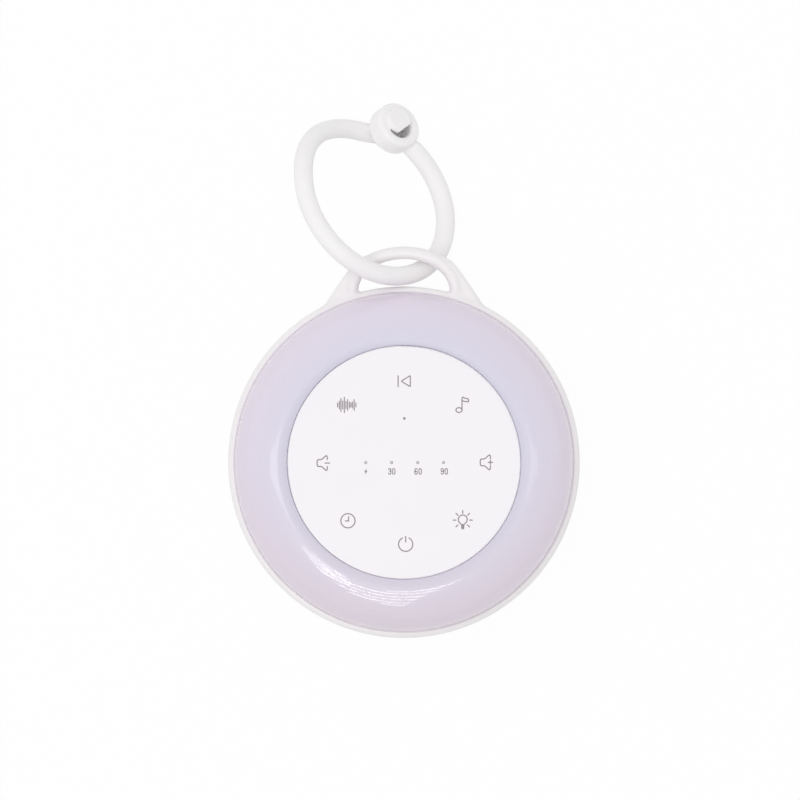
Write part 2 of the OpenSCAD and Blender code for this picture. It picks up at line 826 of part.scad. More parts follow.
module panel_frame() {
  color("white") difference() {
    union() {
      translate([0, 0, deck_z]) ring(frame_r, frame_in, panel_z - deck_z);
      translate([0, 0, panel_z - frame_ledge_t]) ring(frame_r + flange_w, frame_in, frame_ledge_t);
      translate([0, 0, touch_board_z - frame_ledge_t])
        ring(frame_in + 0.5, frame_in - frame_ledge_w, frame_ledge_t);
      four_corners(frame_boss) translate([0, 0, deck_z])
        cylinder(d = frame_boss_d, h = touch_board_z - deck_z);
      for (x = [-1, 1], y = [-1, 1]) translate([x * frame_boss.x, y * frame_boss.y - 0.7, deck_z])
        mirror([x < 0 ? 1 : 0, 0]) cube([frame_in + 0.3 - frame_boss.x - 1.8, 1.4, 5]);
    }
    four_corners(frame_boss) translate([0, 0, deck_z - over])
      cylinder(d = small_screw_d - 0.3, h = frame_screw_l + over);
  }
}

module frame_screws() {
  color("silver") four_corners(frame_boss) translate([0, 0, chassis_z])
    screw(small_screw_d - 0.4, frame_screw_l, small_head_d, small_head_t);
}

module touch_board() {
  color("darkgreen") translate([0, 0, touch_board_z]) cylinder(r = touch_board_r, h = touch_board_t);
}

module panel_tape() {
  color("gold") translate([0, 0, tape_z]) difference() {
    cylinder(r = touch_board_r, h = tape_t);
    for (p = LIGHTS) translate([p.x, p.y, -over]) cylinder(d = light_well_d, h = 2 * over + tape_t);
  }
}

module indicator_leds() {
  color("lightyellow") for (p = LIGHTS) translate([p.x - 0.8, p.y - 0.4, tape_z]) cube([1.6, 0.8, 0.7]);
}

module touch_panel() {
  color("ghostwhite") translate([0, 0, panel_z]) difference() {
    rotate_extrude() outline([
      [0, 0, 0],
      [panel_d / 2, 0, 0],
      [panel_d / 2, panel_t - panel_round, quarter],
      [panel_d / 2 - panel_round, panel_t, 0],
      [0, panel_t, 0]
    ]);
    for (p = LIGHTS) translate([p.x, p.y, -over]) cylinder(d = light_well_d, h = light_well_t + over);
  }
}

// ---- Electronics ----

module main_board() {
  color("darkgreen") translate([0, 0, board_z]) linear_extrude(board_t) difference() {
    intersection() {
      circle(r = board_r);
      translate([-board_w / 2, -board_r - over]) square([board_w, board_r + over - board_edge]);
    }
    for (x = [-1, 1]) translate([x * board_post.x, -board_post.y]) circle(d = small_screw_d + clear);
  }
}

module board_screws() {
  color("silver") for (x = [-1, 1]) translate([x * board_post.x, -board_post.y, board_top])
    mirror([0, 0, 1]) screw(small_screw_d - 0.4, board_top - floor_z - 3, small_head_d, small_head_t);
}

module on_board(place) {
  translate([place.x, place.y - board_r, board_top]) children();
}

module rounded_slab(w, d, r, h) {
  linear_extrude(h) rounded_rect(w, d, r);
}

module board_chips() {
  color("dimgray") for (i = [0:len(CHIPS) - 1]) on_board(CHIPS[i]) {
    size = CHIP_SIZES[i];
    translate([-size.x / 2, -size.y / 2]) cube(size);
  }
}

module board_coils() {
  color("gray") for (p = COILS) on_board(p) rounded_slab(coil_size.x, coil_size.y, 1, coil_size.z);
}

module board_capacitor() {
  color("silver") on_board(capacitor_at) cylinder(d = capacitor_d, h = capacitor_h);
}

module lead_plugs() {
  color("ivory") for (p = PLUGS) translate([p.x - plug.x / 2, -p.y - plug.y / 2, board_top]) cube(plug);
}

module usb_shell() {
  color("silver") translate([0, usb_l - usb_face, usb_z]) rotate([90, 0, 0]) difference() {
    rounded_slab(usb_w, usb_h, usb_h / 2 - 0.05, usb_l);
    translate([0, 0, 0.3]) rounded_slab(usb_w - 0.6, usb_h - 0.6, usb_h / 2 - 0.35, usb_l);
  }
}

module usb_tongue() {
  color("black") translate([0, usb_l - usb_face - 0.3, usb_z]) rotate([90, 0, 0]) {
    rounded_slab(usb_w - 0.6, usb_h - 0.6, usb_h / 2 - 0.35, 1.4);
    translate([-3.3, -0.35, 0]) cube([6.6, 0.7, 5.8]);
  }
}

module lock_switch() {
  color("silver") lock_place() translate([lever_in, 0, board_top]) difference() {
    translate([-1.6, -4.2, 0]) cube([switch_d, 8.4, 3]);
    translate([0, -lever.x / 2 - lock_travel / 2 - 0.2, 1.5 - lever.y / 2 - 0.15])
      cube([switch_d, lever.x + lock_travel + 0.4, lever.y + 0.3]);
  }
}

module lock_lever() {
  color("black") lock_place() translate([lever_in + 0.2, lock_at - lever.x / 2, lock_z - lever.y / 2])
    cube([lever_out - lever_in - 0.2, lever.x, lever.y]);
}

module lock_knob() {
  in_x = lever_out - 1.2;
  stem_l = lock_floor + 0.4 - in_x;
  collar_l = lock_floor - lock_pad.x - 0.3 - in_x;
  color("gainsboro") lock_place() translate([0, lock_at, lock_z]) difference() {
    union() {
      translate([in_x, -lock_stem.x / 2, -lock_stem.y / 2]) {
        cube([stem_l, lock_stem.x, lock_stem.y]);
        cube([collar_l, lock_stem.x, lock_stem.y + 1]);
      }
      translate([lock_floor + 0.2, -2.9, -2]) cube([0.6, 5.8, 4]);
      for (y = [-1.8, -0.4, 1]) translate([lock_floor + 0.7, y, -2]) cube([0.45, 0.8, 4]);
    }
    translate([in_x - over, -lever.x / 2, -lever.y / 2]) cube([lever_out - in_x + over, lever.x, lever.y]);
  }
}

module battery_pad() {
  color("lightgray") translate([0, 0, deck_z]) rounded_slab(cell_w - 6, cell_l - 8, 1, pad_t);
}

module battery_cell() {
  color("lightsteelblue") translate([0, 0, cell_z]) rounded_slab(cell_w, cell_l, 2, cell_t);
}

module battery_guard() {
  color("darkgreen") translate([-guard_w / 2, -cell_l / 2 - guard_t, guard_z])
    cube([guard_w, guard_t, guard_h]);
}

module ribbon_sockets() {
  color("ivory") {
    translate([ribbon_x - ribbon_w / 2 - 1, -ribbon_y - 1, touch_board_z - 1.6])
      cube([ribbon_w + 2, 2, 1.6]);
    translate([ribbon_x - ribbon_w / 2 - 1, -ribbon_y - ribbon_bend - 3.5, board_top])
      cube([ribbon_w + 2, 3.5, 1.6]);
  }
}

module touch_ribbon() {
  low = board_top + 0.8;
  top = touch_board_z - 1.6;
  a = ribbon_y - ribbon_t / 2;
  b = ribbon_y + ribbon_t / 2;
  // In the plane that holds the ribbon's bend: x is the distance from the centre
  color("white") translate([ribbon_x - ribbon_w / 2, 0]) rotate([90, 0, -90]) mirror([0, 0, 1])
    linear_extrude(ribbon_w) wall_outline([
      [a, top, 0],
      [a, low + ribbon_bend, quarter],
      [b + ribbon_bend - ribbon_t / 2, low - ribbon_t / 2, 0],
      [b + ribbon_bend - ribbon_t / 2, low + ribbon_t / 2, -quarter],
      [b, low + ribbon_bend, 0],
      [b, top, 0]
    ]);
}

module battery_lead() {
  top_z = board_top + plug.z;
  color("crimson") for (x = [-0.8, 0.8])
    wire(
      [lead_hole.x - 1 + x, -cell_l / 2 - guard_t, guard_z + guard_h / 2], [0, -4.2, 0],
      [PLUGS[0].x + x, -PLUGS[0].y, top_z], [0, 0, -9], 1.1, [1, 0, 0]
    );
}

module speaker_lead() {
  p = PLUGS[1];
  color("black") for (k = [-1, 1])
    wire(
      [k, -basket_in - 2, speaker_z + flange_t + 3], [0, -7, 0],
      [p.x + k, -p.y, board_top + plug.z], [0, 0, -9], 1.1, [1, 0, 0]
    );
}

module light_lead() {
  p = PLUGS[2];
  r0 = (frame_r + led_board_in) / 2;
  a = r0 * [cos(light_lead_a), sin(light_lead_a)];
  color("white") for (k = [-1, 1])
    wire(
      [a.x + 0.3 * k, a.y - 0.55 * k, deck_z], [0, 0, -8],
      [p.x + 0.5 * k, -p.y - 0.9 * k, board_top + plug.z], [0, 0, -6], 1, [1, -1, 0]
    );
}

// ---- Strap ----

function blend(t) = let(u = min(1, max(0, t))) u * u * (3 - 2 * u);

// Middle of the tube at the distance s from its root, in the plane of the eyelet
function strap_plan(s) =
  let(
    out = [sin(loop_half), -cos(loop_half)],
    back = [-sin(loop_half), -cos(loop_half)],
    a = loop_half - (s - root_l) / loop_r * 180 / PI,
    t = s - root_l - arc_l
  )
  s < root_l ? out * (root_at + s)
  : s < root_l + arc_l ? [0, loop_cy] + loop_r * [cos(a), sin(a)]
  : back * (straight_l - t) + stud_at * blend(t / straight_l);
function strap_point(s) =
  let(p = strap_plan(s), end = root_l + arc_l - 2)
  [p.x, p.y, -tail_drop * blend((s - end + drop_l) / drop_l)];
function strap_radius(s) =
  let(left = strap_l - s)
  s < 3 ? eyelet_h / 2 - 0.15 + (strap_r - eyelet_h / 2 + 0.15) * blend(s / 3)
  : left < strap_r ? strap_r * sqrt(max(0.02, 1 - pow(1 - left / strap_r, 2)))
  : strap_r;
strap_stops = [
  for (i = [0:strap_rings]) i / strap_rings * (strap_l - strap_r),
  for (u = [0.3, 0.55, 0.75, 0.9, 1]) strap_l - strap_r * (1 - u)
];
strap_path = [for (s = strap_stops) strap_point(s)];

// How high a point of the strap's own frame lies once the strap is turned
strap_slope = [
  -sin(strap_turn.y),
  cos(strap_turn.y) * sin(strap_turn.x),
  cos(strap_turn.y) * cos(strap_turn.x)
];
strap_up = [
  strap_slope.x * cos(strap_turn.z) + strap_slope.y * sin(strap_turn.z),
  strap_slope.y * cos(strap_turn.z) - strap_slope.x * sin(strap_turn.z),
  strap_slope.z
];
eyelet_low = eyelet_d / 2 * sqrt(1 - pow(strap_up.z, 2)) + eyelet_h / 2 * strap_up.z;
tube_low = max([for (p = strap_path) strap_r - p * strap_up]);
eyelet_z = max(eyelet_low, tube_low) + 0.02;

module strap_place() {
  translate([eyelet_x, eyelet_y, eyelet_z])
    rotate([0, strap_turn.y, 0]) rotate([strap_turn.x, 0, 0]) rotate([0, 0, strap_turn.z]) children();
}

module carry_strap() {
  color("white") strap_place() {
    difference() {
      union() {
        skin(tube_rings(
          strap_path, headings(strap_path), [for (s = strap_stops) strap_radius(s)],
          strap_sides, [0, 0, 1]
        ));
        rotate_extrude() translate([(eyelet_d + eyelet_hole_d) / 4, 0])
          rounded_rect((eyelet_d - eyelet_hole_d) / 2, eyelet_h, hole_round);
      }
      translate([0, 0, -eyelet_h / 2 + touch]) cylinder(d = eyelet_hole_d, h = eyelet_h * 2);
    }
    translate([stud_at.x, stud_at.y, -tail_drop]) {
      cylinder(d = stud_d, h = tail_drop + eyelet_h / 2 + 1);
      translate([0, 0, tail_drop + eyelet_h / 2 + 0.2]) difference() {
        cylinder(d = stud_head_d, h = stud_head_h);
        rotate(-30) translate([stud_head_d * 0.28, -stud_head_d, 0.6])
          cube([stud_head_d, 2 * stud_head_d, stud_head_h]);
      }
    }
  }
}

rear_housing();
rubber_feet();
housing_screws();
speaker_grille();
grille_cloth();
speaker_gasket();
speaker_frame();
speaker_terminal();
speaker_surround();
speaker_cone();
speaker_dust_cap();
voice_coil();
speaker_spider();
speaker_top_plate();
speaker_magnet();
speaker_yoke();
speaker_screws();
chassis();
led_board();
night_leds();
diffuser_ring();
panel_frame();
frame_screws();
touch_board();
panel_tape();
indicator_leds();
touch_panel();
main_board();
board_screws();
board_chips();
board_coils();
board_capacitor();
lead_plugs();
usb_shell();
usb_tongue();
lock_switch();
lock_lever();
lock_knob();
battery_pad();
battery_cell();
battery_guard();
ribbon_sockets();
touch_ribbon();
battery_lead();
speaker_lead();
light_lead();
carry_strap();
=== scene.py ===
# %% [markdown]
# # A white noise sound machine
# A round, flat speaker box for a nursery. It lies on its back: a white bowl with a hanger
# arch, a pale lavender ring that glows at night, a touch panel in the middle of the ring,
# and a silicone strap looped through the arch. The solids come from the CAD frame, and
# this lesson dresses them: the surfaces that show are modelled again more finely, and
# each piece gets the finish of its real material.

# %% Load the frame
import json
import math

import bmesh
import bpy
import numpy as np
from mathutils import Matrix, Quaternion, Vector
from mathutils.bvhtree import BVHTree
from mathutils.kdtree import KDTree


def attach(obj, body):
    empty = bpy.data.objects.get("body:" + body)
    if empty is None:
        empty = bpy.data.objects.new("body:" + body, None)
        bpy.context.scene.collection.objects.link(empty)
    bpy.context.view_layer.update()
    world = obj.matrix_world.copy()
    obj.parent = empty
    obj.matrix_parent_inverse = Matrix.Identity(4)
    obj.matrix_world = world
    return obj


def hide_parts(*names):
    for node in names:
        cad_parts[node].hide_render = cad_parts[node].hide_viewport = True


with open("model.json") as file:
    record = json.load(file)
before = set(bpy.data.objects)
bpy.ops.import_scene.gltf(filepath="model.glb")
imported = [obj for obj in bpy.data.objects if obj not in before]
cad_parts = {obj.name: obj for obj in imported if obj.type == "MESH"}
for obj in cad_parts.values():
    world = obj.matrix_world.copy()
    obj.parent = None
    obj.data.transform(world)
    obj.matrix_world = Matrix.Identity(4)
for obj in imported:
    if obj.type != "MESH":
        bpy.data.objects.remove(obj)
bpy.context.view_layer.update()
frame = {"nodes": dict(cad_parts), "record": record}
nodes = frame["nodes"]

# %% [markdown]
# ## Camera
# The machine is seen straight from the front, so the camera looks down on it from well
# above. A long lens from five metres away keeps the ring and the strap in nearly the same
# scale, as in a product shot. The view is 239 mm wide at the height of the ring.

# %% Camera
MM = 0.001
VIEW_WIDTH = 238.6 * MM
VIEW_HEIGHT_Z = 37 * MM
CAMERA_DISTANCE = 5
CAMERA_X = -1.19 * MM
CAMERA_Y = 18.58 * MM
SENSOR_WIDTH = 36

camera = bpy.data.objects.new("camera", bpy.data.cameras.new("camera"))
camera.data.sensor_width = SENSOR_WIDTH
camera.data.lens = SENSOR_WIDTH * CAMERA_DISTANCE / VIEW_WIDTH
camera.data.clip_start = 0.05
camera.data.clip_end = 20
camera.location = (CAMERA_X, CAMERA_Y, VIEW_HEIGHT_Z + CAMERA_DISTANCE)
bpy.context.scene.collection.objects.link(camera)
bpy.context.scene.camera = camera
bpy.context.scene.view_settings.view_transform = "Standard"
print("lens:", round(camera.data.lens, 1), "mm")

# %% [markdown]
# ## Studio
# A white paper floor and an even white sky, with one large soft box above as the key. The
# other lamps light nothing and only draw reflections in gloss. Two strips give the soft
# glints left and right of the panel. A row of slats and a few streaks across them, like
# daylight through a blind, give the bright crescent on the near side of the ring. Every
# slat is equally bright, so its power follows from its area.

# %% Studio
WORLD_LIGHT = 0.74
KEY_POWER = 5.5
KEY_SIZE = (1, 1)
KEY_PLACE = (-0.3, 0.15, 1.4)
KEY_AIM = (0, 0, 0.03)
GLINT_Z = 1.3
LEFT_STRIP_LIGHT = 2
RIGHT_STRIP_LIGHT = 1.2
BLIND_LIGHT = 9
SLAT_ROLL = -6
STREAKS = 4
STREAK_SIZE = (0.02, 0.42)
STREAK_ROLL = -21
PAPER_TONE = (0.9, 0.9, 0.9, 1)
PAPER_GLOW = 0.96
FLOOR_HALF = 6
FLOOR_DROP = 0.2 * MM

world = bpy.data.worlds.new("studio")
bpy.context.scene.world = world
world.use_nodes = True
sky = world.node_tree
background = sky.nodes["Background"]
background.inputs["Color"].default_value = (1, 1, 1, 1)
rays = sky.nodes.new("ShaderNodeLightPath")
seen = rays.outputs["Is Camera Ray"]
for kind in ("Is Glossy Ray", "Is Transmission Ray"):
    either = sky.nodes.new("ShaderNodeMath")
    either.operation = "MAXIMUM"
    sky.links.new(seen, either.inputs[0])
    sky.links.new(rays.outputs[kind], either.inputs[1])
    seen = either.outputs[0]
strength = sky.nodes.new("ShaderNodeMapRange")
strength.inputs["To Min"].default_value = WORLD_LIGHT
strength.inputs["To Max"].default_value = 1
sky.links.new(seen, strength.inputs["Value"])
sky.links.new(strength.outputs["Result"], background.inputs["Strength"])


def soft_box(name, place, aim, size, power, roll=0):
    """A rectangular lamp that faces a point, and that the camera doesn't see."""
    lamp = bpy.data.lights.new(name, "AREA")
    lamp.shape = "RECTANGLE"
    lamp.size, lamp.size_y = size
    lamp.energy = power
    box = bpy.data.objects.new(name, lamp)
    box.location = place
    facing = (Vector(place) - Vector(aim)).to_track_quat("Z", "Y")
    box.rotation_euler = (facing @ Quaternion((0, 0, 1), math.radians(roll))).to_euler()
    box.visible_camera = False
    bpy.context.scene.collection.objects.link(box)
    return box


def glint(name, x, y, size, light, roll=0):
    """A lamp that faces straight down and shows only as a reflection in gloss."""
    power = light * math.pi * size[0] * size[1]
    box = soft_box(name, (x, y, GLINT_Z), (x, y, 0), size, power, roll)
    box.visible_diffuse = False


key = soft_box("key", KEY_PLACE, KEY_AIM, KEY_SIZE, KEY_POWER)
key.visible_glossy = False
glint("left_strip", -0.30, -0.02, (0.42, 0.12), LEFT_STRIP_LIGHT)
glint("right_strip", 0.30, -0.01, (0.42, 0.09), RIGHT_STRIP_LIGHT)
slats = [
    # Place along Y, left end, right end, thickness.
    (-0.25, -0.03, 0.12, 0.04),
    (-0.38, -0.27, 0.11, 0.05),
    (-0.56, -0.42, 0.09, 0.055),
    (-0.77, -0.43, 0.07, 0.065),
    (-1.02, -0.42, 0.04, 0.08),
    (-1.30, -0.22, 0.02, 0.10),
]
for k, (y, left, right, thick) in enumerate(slats):
    glint(f"slat_{k}", (left + right) / 2, y, (right - left, thick), BLIND_LIGHT, SLAT_ROLL)
for k in range(STREAKS):
    x, y = -0.17 - 0.07 * k, -0.33 - 0.04 * k
    glint(f"stray_{k}", x, y, STREAK_SIZE, BLIND_LIGHT, STREAK_ROLL)

floor = bpy.data.objects.new("floor", bpy.data.meshes.new("floor"))
floor_corners = [(x * FLOOR_HALF, y * FLOOR_HALF, 0)
                 for x, y in ((-1, -1), (1, -1), (1, 1), (-1, 1))]
floor.data.from_pydata(floor_corners, [], [(0, 1, 2, 3)])
floor.location.z = -FLOOR_DROP
bpy.context.scene.collection.objects.link(floor)

# The paper glows for the camera alone, so it looks white and still takes a faint shadow.
paper = bpy.data.materials.new("white_sweep")
paper.use_nodes = True
paper_nodes = paper.node_tree.nodes
paper_links = paper.node_tree.links
matte = paper_nodes["Principled BSDF"]
matte.inputs["Base Color"].default_value = PAPER_TONE
matte.inputs["Roughness"].default_value = 0.9
matte.inputs["Specular IOR Level"].default_value = 0
glow = paper_nodes.new("ShaderNodeEmission")
mixed = paper_nodes.new("ShaderNodeMixShader")
paper_rays = paper_nodes.new("ShaderNodeLightPath")
glow_share = paper_nodes.new("ShaderNodeMath")
glow_share.operation = "MULTIPLY"
glow_share.inputs[1].default_value = PAPER_GLOW
paper_links.new(paper_rays.outputs["Is Camera Ray"], glow_share.inputs[0])
paper_links.new(glow_share.outputs[0], mixed.inputs["Fac"])
paper_links.new(matte.outputs[0], mixed.inputs[1])
paper_links.new(glow.outputs[0], mixed.inputs[2])
paper_links.new(mixed.outputs[0], paper_nodes["Material Output"].inputs["Surface"])
floor.data.materials.append(paper)

# %% [markdown]
# ## A few tools for making meshes
# Nearly every piece is a round moulding, so most of them are a profile turned about an
# axis, and the rest are tubes swept along a path. Both are rings of points with quads
# between them. Sizes are written in millimetres, as on the CAD side, and become metres
# when the mesh is made.

# %% Mesh tools
TURN_STEP = 1.5
SHARP_ANGLE = 38


def new_piece(name, points, faces):
    """A mesh object from points in millimetres, with its faces turned outwards."""
    mesh = bpy.data.meshes.new(name)
    mesh.from_pydata((np.asarray(points, float) * MM).tolist(), [], faces)
    solid = bmesh.new()
    solid.from_mesh(mesh)
    if solid.calc_volume(signed=True) < 0:
        mesh.flip_normals()
    solid.free()
    piece = bpy.data.objects.new(name, mesh)
    bpy.context.scene.collection.objects.link(piece)
    return piece


def skin(name, rings, closed=False):
    """Quads over rings of points, closed into a loop or capped at both ends."""
    rings = np.asarray(rings, float)
    count, sides = rings.shape[:2]
    faces = []
    for i in range(count if closed else count - 1):
        here, there = i * sides, (i + 1) % count * sides
        for j in range(sides):
            k = (j + 1) % sides
            faces.append((here + j, here + k, there + k, there + j))
    if not closed:
        faces.append(tuple(range(sides))[::-1])
        faces.append(tuple((count - 1) * sides + j for j in range(sides)))
    return new_piece(name, rings.reshape(-1, 3), faces)


def on_circle(radius, degrees):
    """X and Y of a point on a circle round the origin."""
    return radius * math.cos(math.radians(degrees)), radius * math.sin(math.radians(degrees))


def turned(name, profile, angles=None):
    """A closed profile of (radius, height) points turned about Z, at angles in degrees."""
    angles = np.arange(0, 360, TURN_STEP) if angles is None else angles
    profile = np.asarray(profile, float)
    rings = [np.column_stack([profile[:, 0] * c, profile[:, 0] * s, profile[:, 1]])
             for c, s in (on_circle(1, a) for a in angles)]
    return skin(name, rings, closed=True)


def arc(x, y, radius, start, end, steps):
    """Points of a circle from one angle to another, in degrees."""
    points = (on_circle(radius, a) for a in np.linspace(start, end, steps + 1))
    return [(x + u, y + v) for u, v in points]


def line(a, b, steps):
    """Points from a to b, without b itself."""
    return [(a[0] + (b[0] - a[0]) * i / steps, a[1] + (b[1] - a[1]) * i / steps)
            for i in range(steps)]


def rod(name, x, y, low, high, diameter, sides=48):
    """An upright cylinder."""
    circle = [(x + diameter / 2 * math.cos(t), y + diameter / 2 * math.sin(t))
              for t in np.linspace(0, 2 * math.pi, sides, endpoint=False)]
    return skin(name, [[(*p, z) for p in circle] for z in (low, high)])


def settled(piece):
    """Makes the piece's modifiers real."""
    graph = bpy.context.evaluated_depsgraph_get()
    mesh = bpy.data.meshes.new_from_object(piece.evaluated_get(graph))
    piece.modifiers.clear()
    piece.data = mesh
    mesh.name = piece.name


def combine(piece, tool, operation):
    """Adds the tool's solid to the piece, or cuts it away, and removes the tool."""
    boolean = piece.modifiers.new(operation, "BOOLEAN")
    boolean.operation = operation
    boolean.solver = "MANIFOLD"
    boolean.object = tool
    settled(piece)
    bpy.data.objects.remove(tool)


def smooth_shaded(piece, sharp=SHARP_ANGLE):
    """Smooth shading, with edges sharper than this angle left crisp."""
    piece.data.shade_smooth()
    piece.data.set_sharp_from_angle(angle=math.radians(sharp))


# %% [markdown]
# ## Rear housing: the bowl
# The real one is a single ABS moulding, 2 mm thick: a flat back with a round opening for
# the speaker, a big round corner and a straight wall that ends in a soft rim. It is one
# closed profile turned about Z. The turning steps are finer round the arch, where a
# fillet will be worked into the wall.

# %% Bowl
BODY_R = 52.5
CORNER_R = 16
BACK_R = BODY_R - CORNER_R
RIM_Z = 31
RIM_ROUND = 1.6
WALL = 2
FOOT_H = 1.5
FLOOR_Z = FOOT_H + WALL
CORNER_Z = FOOT_H + CORNER_R
CAVITY_R = BODY_R - WALL
SOUND_R = 18
GRILLE_SEAT_R = 21.15
GRILLE_SEAT_Z = FOOT_H + 1.2
EDGE_ROUND = 0.3
RIM_EDGE = 0.06
ARCH_LOW_Z = 22
ARCH_FROM, ARCH_TO = 50, 130
FINE_STEP = 0.4
COARSE_STEP = 1.4

bowl_profile = (
    [(SOUND_R, GRILLE_SEAT_Z), (GRILLE_SEAT_R, GRILLE_SEAT_Z)]
    + arc(GRILLE_SEAT_R + EDGE_ROUND, FOOT_H + EDGE_ROUND, EDGE_ROUND, 180, 270, 4)
    + line((GRILLE_SEAT_R + EDGE_ROUND, FOOT_H), (BACK_R, FOOT_H), 12)[1:]
    + arc(BACK_R, CORNER_Z, CORNER_R, -90, 0, 40)
    + line((BODY_R, CORNER_Z), (BODY_R, ARCH_LOW_Z), 6)[1:]
    + line((BODY_R, ARCH_LOW_Z), (BODY_R, RIM_Z - RIM_ROUND), 20)
    + arc(BODY_R - RIM_ROUND, RIM_Z - RIM_ROUND, RIM_ROUND, 0, 90, 10)
    + arc(CAVITY_R + RIM_EDGE, RIM_Z - RIM_EDGE, RIM_EDGE, 90, 180, 3)
    + line((CAVITY_R, RIM_Z - RIM_EDGE), (CAVITY_R, CORNER_Z), 10)[1:]
    + arc(BACK_R, CORNER_Z, CORNER_R - WALL, 0, -90, 24)
    + [(SOUND_R, FLOOR_Z)]
)
fine_angles = np.arange(ARCH_FROM, ARCH_TO, FINE_STEP)
coarse_angles = np.arange(ARCH_TO, ARCH_FROM + 360, COARSE_STEP)
housing = turned("rear_housing_shell", bowl_profile, np.concatenate([fine_angles, coarse_angles]))
print("bowl faces:", len(housing.data.polygons))

# %% [markdown]
# ## Rear housing: the hanger arch
# The bar that the strap hangs on grows out of the wall. It is a round rod along the inner
# edge of the opening, with a thinner web outside it that fills the corner to the wall.
# Each section is worked out across the bar from the inner to the outer edge, and the
# sections are skinned from one foot to the other.

# %% Arch
ARCH_OPEN_W = 27.2
ARCH_OPEN_H = 8.2
ARCH_ROD_W = 3.7
ARCH_ROD_H = 4.4
ARCH_FOOT_H = 8
ARCH_OUTER_R = 25.7
ARCH_OUTER_HALF = 33
ARCH_FOOT_A = 31
ARCH_Z = RIM_Z - 2.3
ARCH_WEB_DROP = 0.9
ARCH_LEG = 5
ARCH_STRAIGHT = 0.75
ARCH_SHOULDER = 0.45
ARCH_HANDLE = 3
ARCH_SUNK = 1.5
ARCH_CENTRE_IN = 1.3
ARCH_FOOT_TURN = 12
ARCH_SIDES = 72
ARCH_SECTIONS = 241
ARCH_TOP = BODY_R + ARCH_OPEN_H + ARCH_ROD_W
ROD_R = ARCH_ROD_W / 2
ROD_HALF = ARCH_ROD_H / 2
WEB_FILLET = 0.3


def along(degrees):
    """Unit vector at this angle below the X axis."""
    return np.array(on_circle(1, -degrees))


def bezier(p, t):
    """Point at t on the curve of four control points."""
    u = 1 - t
    return p[0] * u ** 3 + p[1] * 3 * t * u ** 2 + p[2] * 3 * t * t * u + p[3] * t ** 3


def arch_inner(s):
    """Inner edge of the arch, from -1 at the left foot to 1 at the right."""
    centre = BODY_R - ARCH_CENTRE_IN
    a = math.radians(90 * min(1, abs(s) / ARCH_STRAIGHT))
    leg = max(0, abs(s) - ARCH_STRAIGHT) / (1 - ARCH_STRAIGHT)
    rise = BODY_R + ARCH_OPEN_H - centre
    x = math.copysign(ARCH_OPEN_W / 2 * math.sin(a), s)
    return np.array([x, centre + rise * math.cos(a) - ARCH_LEG * leg])


def arch_outer(s):
    """Outer edge of the arch: an arc over the top, then a curved shoulder."""
    centre = ARCH_TOP - ARCH_OUTER_R
    half = math.radians(ARCH_OUTER_HALF)
    foot = math.radians(ARCH_FOOT_A)
    if abs(s) < ARCH_SHOULDER:
        a = half * abs(s) / ARCH_SHOULDER
        x, y = ARCH_OUTER_R * math.sin(a), centre + ARCH_OUTER_R * math.cos(a)
    else:
        p = np.array([ARCH_OUTER_R * math.sin(half), centre + ARCH_OUTER_R * math.cos(half)])
        q = (BODY_R - ARCH_SUNK) * np.array([math.sin(foot), math.cos(foot)])
        shoulder = [p, p + ARCH_HANDLE * along(ARCH_OUTER_HALF),
                    q - ARCH_HANDLE * along(ARCH_FOOT_A + ARCH_FOOT_TURN), q]
        x, y = bezier(shoulder, (abs(s) - ARCH_SHOULDER) / (1 - ARCH_SHOULDER))
    return np.array([math.copysign(x, s), y])


def falls_off(x):
    """A quarter circle: 1 at 0 and 0 from 1 on."""
    return math.sqrt(max(0, 1 - x * x))


def web_side(u, width):
    """1 across the web, rounded off towards the outer edge."""
    return falls_off(max(0, (u - width + ROD_R) / ROD_R))


def rod_and_web(u, width):
    """Height of the section at u from its inner edge, as a share of the rod's."""
    bar = falls_off((u - ROD_R) / ROD_R)
    web = 0 if u < ROD_R else (1 - ARCH_WEB_DROP / ROD_HALF) * web_side(u, width)
    fillet = WEB_FILLET * min(1, (width - u) / ROD_R)
    near = max(0, 1 - abs(bar - web) / fillet) if fillet > 0 else 0
    return max(bar, web) + fillet * near * near / 4


def arch_section(s):
    """Points round the section at s."""
    a, b = arch_inner(s), arch_outer(s)
    width = np.linalg.norm(b - a)
    low = ROD_HALF + (ARCH_FOOT_H - ARCH_ROD_H) * abs(s) ** 3
    ring = []
    for t in np.linspace(0, 2 * math.pi, ARCH_SIDES, endpoint=False):
        c = math.cos(t)
        u = ROD_R + (width - ROD_R if c > 0 else ROD_R) * c
        p = a + (b - a) * u / width
        if math.sin(t) > 0:
            z = ROD_HALF * rod_and_web(u, width)
        else:
            z = -low * (falls_off((u - ROD_R) / ROD_R) if u < ROD_R else web_side(u, width))
        ring.append((p[0], p[1], ARCH_Z + z))
    return ring


arch = skin("arch", [arch_section(s) for s in np.linspace(-1, 1, ARCH_SECTIONS)])
# The feet end inside the thickness of the wall.
combine(arch, rod("arch_end", 0, 0, 0, 60, 2 * BODY_R - WALL, 360), "DIFFERENCE")
arch_surface = BVHTree.FromPolygons(
    [v.co.copy() for v in arch.data.vertices], [tuple(p.vertices) for p in arch.data.polygons]
)
combine(housing, arch, "UNION")
print("housing faces with its arch:", len(housing.data.polygons))

# %% [markdown]
# ## Rear housing: the fillet where the arch melts into the wall
# In the mould that corner is rounded by a millimetre or so. A bevel would break on such a
# shallow crossing, so the seam is relaxed instead: the points that lie on both surfaces
# are found, and the mesh around them is averaged with its neighbours, strongly at the
# seam and not at all two millimetres away. The inner edge of the rim stays where it is,
# because the light ring is pressed in there and a gap would show as a dark line.

